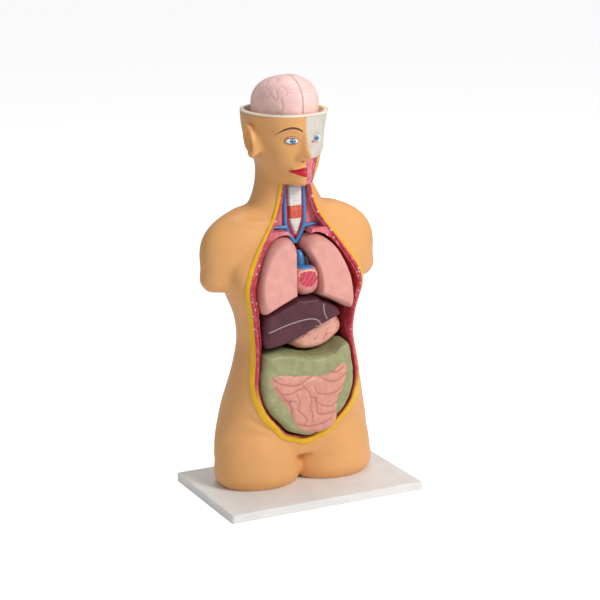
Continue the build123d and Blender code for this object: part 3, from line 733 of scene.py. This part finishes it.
def skin_material():
    paint = Paint("skin", SKIN_COLOUR, mottle=(0.03, 60), grain=(0.5, 0.9))
    x, y, z = paint.x, paint.y, paint.z
    face = y.fall(-14, -8) * x.fall(0.6, 1.2) * z.rise(376, 382)
    # the eye between its lids, its lashes and the crease of its upper lid, which is painted brown as
    # painted shade
    beside = x + 15.5
    across = beside / 6.9
    up = z - EYE_HEIGHT
    half = (across * across).fall(0.0, 1.05).power(0.75)
    opening = (half * 3.3 - up).least(half * 2.7 + up)
    eye = opening.rise(-0.15, 0.25) * face
    lash = opening.rise(-1.25, -0.75) * across.absolute().fall(1.0, 1.12) * face
    lid = (up - half * 3.3 - 2.6).absolute().fall(0.35, 0.8) * across.absolute().fall(0.95, 1.1) * face
    # painted shade: a brown line in the crease above the upper lid
    paint.layer((0.48, 0.16, 0.08), lid * 0.85)
    paint.layer((0.10, 0.05, 0.04), lash * 0.92)
    paint.layer((0.88, 0.88, 0.87), eye)
    iris = (beside - 0.6).hypot(up)
    paint.layer(IRIS_RIM, iris.fall(3.0, 3.3) * eye)
    paint.layer((0.13, 0.36, 0.62), iris.fall(2.45, 2.8) * eye)
    paint.layer(PUPIL, iris.fall(1.05, 1.3) * eye)
    # a painted highlight: a small white glint on the iris
    paint.layer((1, 1, 1), (beside - 1.2).hypot(up - 1.2).fall(0.5, 0.8) * eye)
    # eyebrow, an arch that thins outwards
    off = x + 16.0
    brow = off * off * -0.033 + 444.6
    thick = ((x + 32.0) / 30.0).rise(0.0, 0.3) * 0.6 + 0.45
    reach = x.rise(-32.6, -31.0) * x.fall(-4.4, -3.2)
    arch = ((z - brow).absolute() - thick * 1.15).fall(-0.3, 0.3)
    paint.layer((0.09, 0.05, 0.035), arch * reach * face)
    # lips
    t = ((x + 18.6) / 18.6).most(0.0).least(1.0)
    top = t.power(1.15) * 5.6 + 394.3 - t.rise(0.84, 1.0) * 1.5
    low = t.power(0.72) * -8.6 + 394.5 + t.rise(0.8, 1.0) * 0.6
    lips = (top - z).least(z - low).rise(-0.2, 0.3) * face * x.rise(-18.8, -17.8)
    paint.layer((0.56, 0.012, 0.02), lips)
    # painted shade: the crease where the lips meet is painted darker
    paint.layer((0.36, 0.01, 0.02), (z - 394.7).absolute().fall(0.2, 0.75) * lips)
    # painted shade: the hollow of the nostril is painted brown
    nostril = ((x + 4.6) / 2.3).hypot((z - 405.3) / 1.1)
    paint.layer((0.35, 0.15, 0.08), nostril.fall(0.7, 1.2) * face * 0.8)
    return paint.done(0.12, 0.12)


piece(skin, skin_material(), "torso", "skin_plastic", "torso_shell")
# the band is fat, with a strip of flesh and rib ends on its inner side
paint = Paint("fat", (0.84, 0.49, 0.015), rough=0.4, mottle=(0.04, 9), grain=(0.6, 2.2))
flesh = paint.attribute("inward").rise(0.30, 0.42) * paint.z.rise(112, 150)
paint.layer((0.56, 0.05, 0.09), flesh)
paint.layer((0.72, 0.18, 0.23), flesh * paint.noise(4.0, 3.0).rise(0.5, 0.62) * 0.6)
ribs = paint.cells(6.0, (1.0, 0.5, 1.1)).fall(0.17, 0.32) * paint.z.rise(186, 200)
paint.layer((0.84, 0.55, 0.57), flesh * ribs * 0.9)
piece(band, paint.done(0.25, 0.3), "torso", "fat_yellow", "fat_rim")


# ---------- tray with the cut chest wall
def tray_material():
    paint = Paint("cut_flesh", (0.56, 0.05, 0.07), rough=0.45, mottle=(0.16, 4), grain=(1, 1.6), coat=0.15)
    y, z = paint.y, paint.z
    front = paint.facing_y().fall(-0.75, -0.45)
    # the cut wall: pink and crimson streaks with rib ends all along it
    streak = paint.noise(5.0, 3.0, (1, 1, 0.35))
    paint.layer((0.70, 0.15, 0.20), streak.rise(0.5, 0.64) * 0.75)
    chest = z.rise(186, 200) * y.fall(2, 8)
    ribs = paint.cells(6.4, (1.0, 0.5, 1.15)).fall(0.17, 0.33) * paint.noise(7.0, 1.0).rise(0.34, 0.46)
    paint.layer((0.86, 0.66, 0.66), ribs * chest * front)
    # the muscles of the neck run up and down
    neck = z.rise(309, 316) * y.fall(4, 8)
    strand = paint.noise(2.6, 2.0, (1, 0.4, 0.10))
    paint.layer((0.74, 0.20, 0.24), neck)
    paint.layer((0.60, 0.07, 0.09), strand.rise(0.48, 0.62) * neck * 0.7)
    # the pocket's floor is painted darker towards the back, as painted shade deep in the cavity
    paint.layer((0.20, 0.03, 0.04), y.rise(6, 19))
    paint.height = paint.height + strand * neck * 1.2 + ribs * chest * 0.6
    return paint.done(0.35, 0.5)


dress_node("organ_tray", tray_material())


# ---------- neck
def cartilage_material(name, hatch):
    paint = Paint(name, (0.78, 0.76, 0.72), rough=0.45, mottle=(0.05, 5), grain=(0.8, 1.0), coat=0.1)
    x, z = paint.x, paint.z
    lines = ((x * 0.9 + z * 0.12) * hatch).math("SINE").rise(0.25, 0.95)
    paint.layer((0.45, 0.44, 0.45), lines * paint.noise(2.4, 2.0).rise(0.4, 0.6) * 0.55)
    # painted shade: the grooves between the rings are painted darker
    rings = (z * 1.55).math("SINE")
    paint.layer((0.50, 0.47, 0.46), rings.rise(0.5, 0.95) * 0.35)
    paint.height = paint.height + rings * -0.5
    return paint.done(0.3, 0.4)


def vessel_material(name, colour, dark):
    paint = Paint(name, colour, rough=0.34, mottle=(0.07, 4), grain=(0.4, 1.2), coat=0.35)
    paint.layer(dark, paint.noise(6.0, 2.0).rise(0.56, 0.75) * 0.55)
    return paint.done(0.2, 0.2)


red = vessel_material("artery", (0.62, 0.02, 0.04), (0.36, 0.01, 0.02))
blue = vessel_material("vein", VEIN_BLUE, (0.03, 0.12, 0.36))
dress_node("larynx", cartilage_material("larynx", 3.4))
dress_node("trachea", cartilage_material("trachea", 2.6))
paint = Paint("thyroid", (0.66, 0.10, 0.06), mottle=(0.12, 3), grain=(1.2, 1.3), coat=0.2)
paint.layer((0.82, 0.30, 0.18), paint.noise(3.0, 3.0, (1, 1, 0.5)).rise(0.52, 0.68) * 0.6)
dress_node("thyroid_gland", paint.done(0.35, 0.4))


def neck_vessels(name, lines, radii, y_middle, node, slot, material):
    """The vessels of both sides of the neck as one smooth branching piece."""
    parts = []
    for line, (first, last) in zip(lines, radii):
        for side in (1, -1):
            path = spline([(side * px, y_middle, h + BOARD) for px, h in line], 10)
            parts.append(tube_parts(path, np.linspace(first, last, len(path))))
    obj = join_parts(name, parts)
    remesh(obj, 0.45)
    relax(obj, 6)
    points = places(obj)
    points[:, 2] = np.minimum(points[:, 2], OPENING_TOP - 0.3)
    put(obj, points)
    piece(obj, material, "torso", slot, node)


VEINS = [
    [(-12.3, 366), (-12.5, 345), (-12.5, 330), (-12.0, 316), (-8.2, 305), (-0.6, 292.8)],
    [(-11.5, 312.5), (-20, 313.0), (-30.5, 313.6)],
]
ARTERY = [(-9.4, 366), (-9.4, 345), (-9.4, 330), (-8.5, 317), (-5.1, 307.1), (-1.2, 300.4)]
neck_vessels("neck_veins", VEINS, [(2.0, 2.5), (3.0, 1.2)], -1.8, "jugular_veins", "vein_blue", blue)
neck_vessels("neck_arteries", [ARTERY], [(1.1, 1.5)], -1.3, "carotid_arteries", "artery_red", red)


# ---------- organs
def organ(name, nodes, body, slot, material, size=1.3, rounds=10, relief=None, layers={}):
    """A remeshed, eased copy of CAD nodes, with its relief pushed in along the normals."""
    obj = node_copy(name, *nodes)
    remesh(obj, size)
    points = places(obj)
    back = points[:, 1].max()
    relax(obj, rounds, weight=ramp(back - points[:, 1], 0.5, 4.0))
    if relief:
        points = places(obj)
        push(obj, relief(points) * ramp(back - points[:, 1], 4.0, 12.0))
    piece(obj, material, body, slot, *nodes, layers=layers)
    return obj


def lung_relief(points):
    return 0.35 * noise(points, 16, 2) + 0.08 * noise(points, 3.0, 2)


paint = Paint("lung", (0.78, 0.36, 0.31), rough=0.5, mottle=(0.05, 12), grain=(0.8, 1.4), coat=0.05)
paint.layer((0.68, 0.31, 0.28), paint.noise(2.2, 3.0).rise(0.56, 0.72) * 0.35)
lung_skin = paint.done(0.22, 0.25)
for side in ("right", "left"):
    lung = side + "_lung"
    organ("lung_" + side, [lung], lung + "_body", "lung_salmon", lung_skin, relief=lung_relief)

# heart: opened muscle in the middle, pale fat round it
HEART_WINDOW = [
    (-9, 263), (-8, 273), (2, 275), (12, 273), (13.5, 264), (11.5, 258), (5, 255), (-3, 255.5),
    (-7.5, 259),
]


def heart_window(points):
    x, _, z = points.T
    gap, _ = line_distance(points, HEART_WINDOW + HEART_WINDOW[:1])
    return np.where(inside(x, z, np.array(HEART_WINDOW)), gap, -gap)


def heart_folds(points):
    x, _, z = points.T
    warp = 2.2 * noise(points, 6, 2)
    return np.sin((x * 0.85 - z * 0.6 + 1.6 * warp) * 1.15)


def heart_relief(points):
    window = ramp(heart_window(points), -0.6, 1.2)
    proud = 4.5 * ramp(-points[:, 1], 8, 22) * (1 - 0.8 * ramp(points[:, 2], 274, 279))
    return proud + window * (0.4 * heart_folds(points) - 0.3) + 0.25 * noise(points, 8, 2)


paint = Paint("heart", (0.72, 0.29, 0.26), mottle=(0.08, 5), grain=(0.8, 1.2), coat=0.2)
window = paint.attribute("window")
paint.layer((0.60, 0.055, 0.10), window.rise(-0.6, 1.0))
# painted highlight: the crests of the folds in the opened muscle are painted lighter
paint.layer((0.76, 0.20, 0.24), paint.attribute("folds").rise(0.1, 1.0) * window.rise(0.2, 1.4) * 0.6)
paint.layer((0.82, 0.62, 0.42), (window + 0.4).absolute().fall(0.5, 0.95) * paint.z.rise(266, 270) * 0.8)
branches = paint.noise(5.0, 3.0, (1, 1, 0.4)).rise(0.60, 0.66)
paint.layer((0.50, 0.05, 0.06), branches * window.fall(-1.2, -0.4) * 0.6)
root = paint.z.rise(276.4, 277.2)
paint.layer(VEIN_BLUE, root * paint.x.fall(8.6, 9.4))
paint.layer((0.42, 0.16, 0.12), root * paint.x.rise(8.6, 9.4))
organ("heart", ["heart_muscle"], "heart_body", "heart_crimson", paint.done(0.3, 0.4), size=0.7,
      relief=heart_relief, layers={"window": heart_window, "folds": heart_folds})
organ("pulmonary_artery", ["pulmonary_trunk"], "heart_body", "vein_blue", blue, size=0.45, rounds=12)
organ("aortic_arch", ["aorta"], "heart_body", "artery_red", red, size=0.45, rounds=12)
paint = Paint("auricle", (0.56, 0.28, 0.24), rough=0.45, mottle=(0.12, 3), grain=(1.0, 0.9), coat=0.15)
organ("auricle", ["left_auricle"], "heart_body", "auricle_brown", paint.done(0.35, 0.4), size=0.45,
      relief=lambda points: 0.3 * noise(points, 2.4, 2))

# liver: two thin pale ligament lines
LIVER_LINES = [
    [(-61, 194), (-46, 198.5), (-28, 203.5), (-12, 206.5), (2, 207.5), (11, 205), (15.5, 199.5)],
    [(20, 226), (19.4, 219), (21, 211), (24, 205)],
]


def liver_lines(points):
    return nearest(points, [curve(line) for line in LIVER_LINES])


def liver_relief(points):
    gap = liver_lines(points)
    return 0.4 * noise(points, 18, 2) - 0.5 * bump(gap, 2.2) + 0.35 * bump(gap, 0.7)


paint = Paint("liver", (0.098, 0.025, 0.038), rough=0.4, mottle=(0.1, 16), grain=(0.7, 1.5))
lines = paint.attribute("lines").fall(0.3, 0.85) * 0.75
paint.layer((0.56, 0.45, 0.48), lines * paint.facing_y().fall(-0.88, -0.72))
organ("liver_lobes", ["liver"], "liver_body", "liver_brown", paint.done(0.2, 0.25), size=0.8,
      relief=liver_relief, layers={"lines": liver_lines})
paint = Paint("gall", (0.16, 0.14, 0.11), rough=0.38, mottle=(0.1, 3), grain=(0.6, 1.0), coat=0.3)
organ("gall_sac", ["gallbladder"], "liver_body", "gall_green", paint.done(0.2, 0.2), size=0.45, rounds=8)

# stomach: fine red vessels over the front
STOMACH_VEINS = [
    [(-1.5, 181), (3, 185), (6, 190), (7, 195)], [(3, 185), (8, 183.5), (13, 180)], [(6, 190), (2, 192)],
    [(27, 176), (30, 181), (31, 187), (27, 192)], [(30, 181), (35, 182.5), (40, 181)],
    [(31, 187), (36, 190)], [(41, 194), (46, 197), (48, 203)], [(46, 197), (51, 196)],
    [(14, 176), (18, 180), (18, 186)], [(44, 187), (49, 189)],
]


def stomach_veins(points):
    """Distance from the vessels, which thin out along their way."""
    points = points + 0.7 * noise(points, 3.0, 2)[:, None]
    gaps = []
    for line in STOMACH_VEINS:
        gap, along = line_distance(points, curve(line))
        gaps.append(gap + 0.45 * along)
    return np.min(gaps, axis=0)


paint = Paint("stomach", (0.84, 0.42, 0.33), mottle=(0.06, 9), grain=(0.7, 1.4), coat=0.15)
paint.layer((0.70, 0.30, 0.22), paint.noise(9.0, 3.0, (1, 1, 2)).rise(0.5, 0.7) * 0.35)
paint.layer((0.55, 0.07, 0.06), paint.attribute("veins").fall(0.45, 0.9) * 0.8)
organ("stomach_sac", ["stomach"], "stomach_body", "stomach_peach", paint.done(0.25, 0.3), size=1.0,
      relief=lambda points: 0.5 * noise(points, 14, 2) + 0.16 * bump(stomach_veins(points), 0.9),
      layers={"veins": stomach_veins})

# large intestine: a smooth green roll, with shallow bulges round the frame
COLON_LINE = [
    (-46, 82), (-58, 110), (-58, 140), (-54, 159), (-30, 161), (0, 156), (26, 155), (42, 163), (54, 160),
    (58, 135), (55, 108), (44, 85),
]


def colon_bulges(points):
    _, along = line_distance(points, curve(COLON_LINE))
    return np.abs(np.sin(along * np.pi * 17)) ** 0.5


def colon_relief(points):
    return 0.5 * (colon_bulges(points) - 0.8) + 0.4 * noise(points, 9, 2)


paint = Paint("colon", (0.345, 0.345, 0.17), rough=0.44, mottle=(0.08, 10), grain=(0.9, 1.5))
paint.layer((0.43, 0.42, 0.23), paint.noise(8.0, 2.0).rise(0.5, 0.68) * 0.5)
# painted shade: the creases between the bulges are painted darker
paint.layer((0.24, 0.31, 0.15), paint.attribute("bulges").fall(0.1, 0.75) * 0.2)
organ("colon", ["large_intestine", "descending_colon"], "intestine_body", "colon_green",
      paint.done(0.3, 0.35), relief=colon_relief, layers={"bulges": colon_bulges})

# small intestine: loops parted by engraved grooves, and a few painted vessel ends
GROOVES = [
    [(-47, 139), (-40, 133), (-29, 129), (-16, 128), (-4, 133), (6, 137)],
    [(-44, 128), (-37, 121), (-27, 119), (-17, 122), (-9, 124)],
    [(-11, 127), (-4, 119), (0, 110), (-2, 101), (1, 92), (0, 84)],
    [(11, 134), (20, 128), (33, 127), (44, 133)],
    [(4, 124), (8, 116), (20, 113), (33, 115), (40, 121)],
    [(-18, 117), (-15, 108), (-17, 100), (-10, 93), (-6, 86)],
    [(5, 107), (14, 101), (25, 99), (34, 104)],
    [(-17, 84), (-6, 80), (8, 80), (22, 84), (28, 90)],
    [(-33, 113), (-27, 107), (-24, 99), (-27, 93)],
    [(-3, 113), (5, 110), (6, 101), (7, 93), (16, 91), (29, 92)],
    [(-50, 146), (-38, 137)], [(-20, 138), (-10, 141)], [(20, 139), (30, 136), (40, 140)],
    [(-38, 121), (-30, 112), (-20, 110)], [(40, 113), (33, 108)],
]
MARKS = [(-44, 137), (-4.5, 139), (4, 138.5), (26, 139), (-27, 110.5), (5, 108.5), (-9, 84), (12, 82)]


def groove_gap(points):
    wave = 0.8 * noise(points, 7, 2)[:, None]
    return nearest(points + wave * (1, 0, 0), [curve(line) for line in GROOVES])


def mark_gap(shift):
    """Distance from the painted vessel ends, each a short bent line beside its mark."""
    def gap(points):
        lines = []
        for px, h in MARKS:
            px, pz = px + shift, h + BOARD
            lines.append([(px, pz - 2.4), (px + 1.0, pz), (px + 0.4, pz + 2.4)])
        return nearest(points, lines)
    return gap


def loop_relief(points):
    gap = groove_gap(points)
    return 1.1 * np.minimum(gap / 4.5, 1) ** 0.5 - 0.9 + 0.3 * noise(points, 6, 2)


paint = Paint("bowel", (0.72, 0.325, 0.25), rough=0.46, mottle=(0.06, 7), grain=(0.8, 1.3), coat=0.08)
# painted shade: the engraved grooves between the loops are painted darker
paint.layer((0.46, 0.17, 0.13), paint.attribute("grooves").fall(0.3, 1.7) * 0.7)
paint.layer((0.58, 0.05, 0.08), paint.attribute("reds").fall(0.25, 0.7) * 0.8)
paint.layer((0.14, 0.28, 0.55), paint.attribute("blues").fall(0.25, 0.7) * 0.75)
loops = organ("bowel_loops", ["small_intestine"], "intestine_body", "bowel_pink", paint.done(0.3, 0.35),
              size=0.9, rounds=6, relief=loop_relief,
              layers={"grooves": groove_gap, "reds": mark_gap(-0.7), "blues": mark_gap(0.9)})
# towards the front the loops spread over the colon's ring
points = places(loops)
spread = ramp(-points[:, 1], 22, 34)
points[:, 0] += np.where(points[:, 0] < 4, 0.045, 0.075) * (points[:, 0] - 4) * spread
points[:, 2] += 0.10 * (points[:, 2] - 118) * spread
put(loops, points)


# ---------- brain
def gyri(points):
    """0 in the furrows of the brain, 1 on its folds."""
    place = points.copy()
    place[:, 0] = np.abs(place[:, 0])
    warp = np.column_stack([noise(place, 17, 2, s) for s in (0.0, 5.3, 9.1)]) * 15
    folded = noise(place + warp, 15, 1, 3.7)
    return np.minimum(np.abs(folded) / 0.2, 1)


paint = Paint("brain", (0.97, 0.64, 0.59), rough=0.46, mottle=(0.04, 14), coat=0.08)
# painted shade: the furrows between the folds are painted darker
paint.layer((0.80, 0.42, 0.38), paint.attribute("folds").fall(0.05, 0.5) * 0.40)
brain_skin = paint.done(0.2, 0.25)
for side in ("right", "left"):
    obj = node_copy("cerebrum_" + side, "brain_" + side)
    remesh(obj, 0.95)
    points = places(obj)
    free = ramp(np.abs(points[:, 0]), 0.6, 3.5) * ramp(points[:, 2], 429, 432)
    relax(obj, 8, weight=free)
    folds = gyri(places(obj))
    push(obj, (0.7 * folds**0.7 - 0.6) * free)
    attribute(obj, "folds", folds * free + (1 - free))
    piece(obj, brain_skin, "brain_" + side + "_body", "brain_pink", "brain_" + side)


# ---------- dissected half of the face
def fill_quarter(name, node, slot, material, relief):
    """A bone or muscle of the face, with relief on what faces forward or to the side."""
    obj = node_copy(name, node)
    remesh(obj, 0.9)
    points = places(obj)
    inner = ramp(points[:, 0], 0.3, 1.6) * fade(points[:, 1], 10.2, 11.6)
    relax(obj, 5, weight=inner)
    points, ahead = places(obj), normals(obj)
    front = np.maximum(0, ahead @ np.array([0.35, -0.9, 0.0]))
    side = np.abs(ahead[:, 0]) * (points[:, 1] > -20)
    push(obj, relief(points) * inner * np.minimum(1, 2.2 * np.maximum(front, side)))
    piece(obj, material, "torso", slot, node)


def skull_relief(points):
    x, _, z = points.T
    out = 0.4 * noise(points, 12, 2)
    # eye socket and its rim, cheek bone, nose opening, temple, roots of the teeth
    out -= 2.2 * mound(x, z, 17, 430, 9.5, 7.5)
    out += 1.0 * bump(np.hypot((x - 17) / 13, (z - 430) / 10.5) - 1, 0.22)
    out += 1.5 * mound(x, z, 27, 418, 11, 5.5)
    out -= 1.5 * mound(x, z, 1, 417, 4.5, 7.0)
    out -= 1.1 * mound(x, z, 38, 433, 6, 12)
    out -= 0.5 * bump(np.sin((x - 1) * 1.05), 0.22) * bump(z - 409.3, 2.4) * (x < 22)
    return out


paint = Paint("bone", (0.68, 0.62, 0.54), rough=0.45, mottle=(0.04, 10), grain=(0.7, 1.3), coat=0.1)
socket = ((paint.x - 17) / 10.5).hypot((paint.z - 430) / 8.0)
tear_spot = ((paint.x - 10.6) / 3.2).hypot((paint.z - 426.6) / 1.2)
# painted shade: a darker ring on the inner wall of the eye socket
socket_shade = socket.rise(0.55, 0.85) * socket.fall(0.9, 1.25)
paint.layer((0.66, 0.58, 0.50), socket_shade * 0.35 * paint.y.fall(0, 4))
paint.layer((0.62, 0.10, 0.08), tear_spot.fall(0.7, 1.2) * paint.y.fall(-10, -6))
paint.layer((0.76, 0.45, 0.42), paint.z.fall(407.6, 410.0) * 0.7)
fill_quarter("skull_half", "skull_face_half", "bone_plastic", paint.done(0.22, 0.25), skull_relief)


def jaw_relief(points):
    x, y, z = points.T
    fibres = np.sin((x * 0.9 + 0.35 * (z - 390) + 1.4 * noise(points, 6, 2)) * 2.0)
    out = 0.35 * fibres * fade(y, -27, -21) + 0.9 * mound(x, z, 24, 396, 8, 9)
    out += 0.9 * bump(np.hypot(x - 1, (z - 395) * 0.8), 5)
    return out


paint = Paint("jaw", (0.72, 0.19, 0.24), mottle=(0.1, 5), grain=(0.7, 1.2), coat=0.15)
strands = paint.noise(1.8, 2.0, (1, 1, 0.16))
cheek = (paint.x + paint.noise(7.0, 2.0) * 6.0).rise(11, 15) * paint.x.fall(30, 36)
paint.layer((0.48, 0.03, 0.05), cheek * 0.85)
paint.layer((0.84, 0.45, 0.44), strands.rise(0.5, 0.66) * 0.55)
# behind the muscle a strip of fat, then skin
side = paint.x.rise(14, 16)
paint.layer(SKIN_COLOUR, paint.y.rise(-22.5, -21.0) * side)
paint.layer((0.84, 0.45, 0.02), paint.y.rise(-28.5, -27.0) * paint.y.fall(-22.5, -21.0) * side)
fill_quarter("jaw_muscles", "jaw_muscle", "muscle_red", paint.done(0.35, 0.4), jaw_relief)

paint = Paint("eye", (0.86, 0.85, 0.83), rough=0.16, mottle=(0.02, 4), grain=(0.2, 1.0), coat=0.7)
ring = (paint.x - 15.2).hypot(paint.z - 430.4)
paint.layer(IRIS_RIM, ring.fall(2.9, 3.2))
paint.layer((0.13, 0.40, 0.72), ring.fall(2.3, 2.7))
paint.layer(PUPIL, ring.fall(0.9, 1.2))
dress_node("left_eyeball", paint.done(0.1, 0.1))

# ---------- plain moulded pieces
paint = Paint("bowl", (0.93, 0.84, 0.70), mottle=(0.03, 20), grain=(0.6, 1.1))
paint.layer((0.88, 0.64, 0.10), paint.x.rise(38, 44) * paint.z.rise(456.5, 457.2) * 0.7)
dress_node("skull_bowl", paint.done(0.15, 0.2))
paint = Paint("board", (0.84, 0.82, 0.80), rough=0.55, mottle=(0.03, 30), grain=(1.0, 0.9), coat=0)
paint.layer((0.70, 0.68, 0.66), paint.noise(6.0, 4.0).rise(0.62, 0.78) * 0.3)
dress_node("base_board", paint.done(0.35, 0.3))
paint = Paint("zinc", (0.55, 0.56, 0.58), rough=0.32, mottle=(0.05, 3), grain=(0.5, 0.6), coat=0)
paint.shader.inputs["Metallic"].default_value = 1.0
dress_node("base_screws", paint.done(0.2, 0.1))
paint = Paint("pin", (0.80, 0.78, 0.74), rough=0.5, mottle=(0.04, 5), grain=(0.5, 0.8), coat=0)
peg_material = paint.done(0.2, 0.15)
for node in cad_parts:
    if node.endswith(("_pegs", "_peg")):
        dress_node(node, peg_material)


# ---------- camera, light and floor
def camera():
    """A long lens from the front and above, a little to the figure's right."""
    azimuth, lift, roll = radians(-25.3), radians(14.1), radians(-1.0)
    aim_height, aim_aside, distance = 0.2324, 0.0055, 2.244
    focal_pixels, picture_pixels = 1885, 600
    back = Vector((sin(azimuth) * cos(lift), -cos(azimuth) * cos(lift), sin(lift)))
    right = Vector((cos(azimuth), sin(azimuth), 0))
    place = Vector((0, 0, aim_height)) + right * aim_aside + back * distance
    up = back.cross(right)
    right, up = right * cos(roll) + up * sin(roll), up * cos(roll) - right * sin(roll)
    data = bpy.data.cameras.new("camera")
    data.sensor_width = 36
    data.lens = data.sensor_width * focal_pixels / picture_pixels
    data.clip_end = 20
    obj = add_object("camera", data)
    obj.matrix_world = Matrix.Translation(place) @ Matrix((right, up, back)).transposed().to_4x4()
    bpy.context.scene.camera = obj


def area_light(name, place, target, size, power):
    data = bpy.data.lights.new(name, "AREA")
    data.shape = "DISK"
    data.size = size
    data.energy = power
    obj = add_object(name, data)
    obj.location = place
    obj.rotation_euler = (Vector(target) - Vector(place)).to_track_quat("-Z", "Y").to_euler()


def camera_ray(tree):
    """1 where the camera looks straight at it, 0 for the light that it throws."""
    return Value(tree, add_node(tree, "LightPath").outputs["Is Camera Ray"])


camera()
world = bpy.data.worlds.new("studio")
bpy.context.scene.world = world
world.use_nodes = True
tree = world.node_tree
backdrop = tree.nodes["Background"]
backdrop.inputs["Color"].default_value = (1, 1, 1, 1)
# the backdrop is white paper, but lights the object only softly
tree.links.new((camera_ray(tree) * 0.66 + 0.34).socket, backdrop.inputs["Strength"])
area_light("key", (0.75, -1.6, 1.5), (0, 0, 0.25), 0.8, 29.5)
area_light("fill", (-1.6, -1.2, 0.9), (0, 0, 0.25), 1.2, 2.2)
area_light("top", (0.2, 0.4, 2.0), (0, 0, 0.3), 1.0, 9)
bpy.context.scene.view_settings.view_transform = "Standard"

bpy.ops.mesh.primitive_plane_add(size=14, location=(0, 0, -0.0002))
floor = bpy.context.object
floor.name = "floor"
material = bpy.data.materials.new("floor")
material.use_nodes = True
tree = material.node_tree
shader = tree.nodes["Principled BSDF"]
shader.inputs["Base Color"].default_value = (0.95, 0.95, 0.95, 1)
shader.inputs["Roughness"].default_value = 0.8
shader.inputs["Emission Color"].default_value = (1, 1, 1, 1)
# the paper looks white in the picture without throwing extra light on the object
tree.links.new((camera_ray(tree) * 0.62).socket, shader.inputs["Emission Strength"])
floor.data.materials.append(material)
floor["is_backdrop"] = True

low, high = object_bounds()
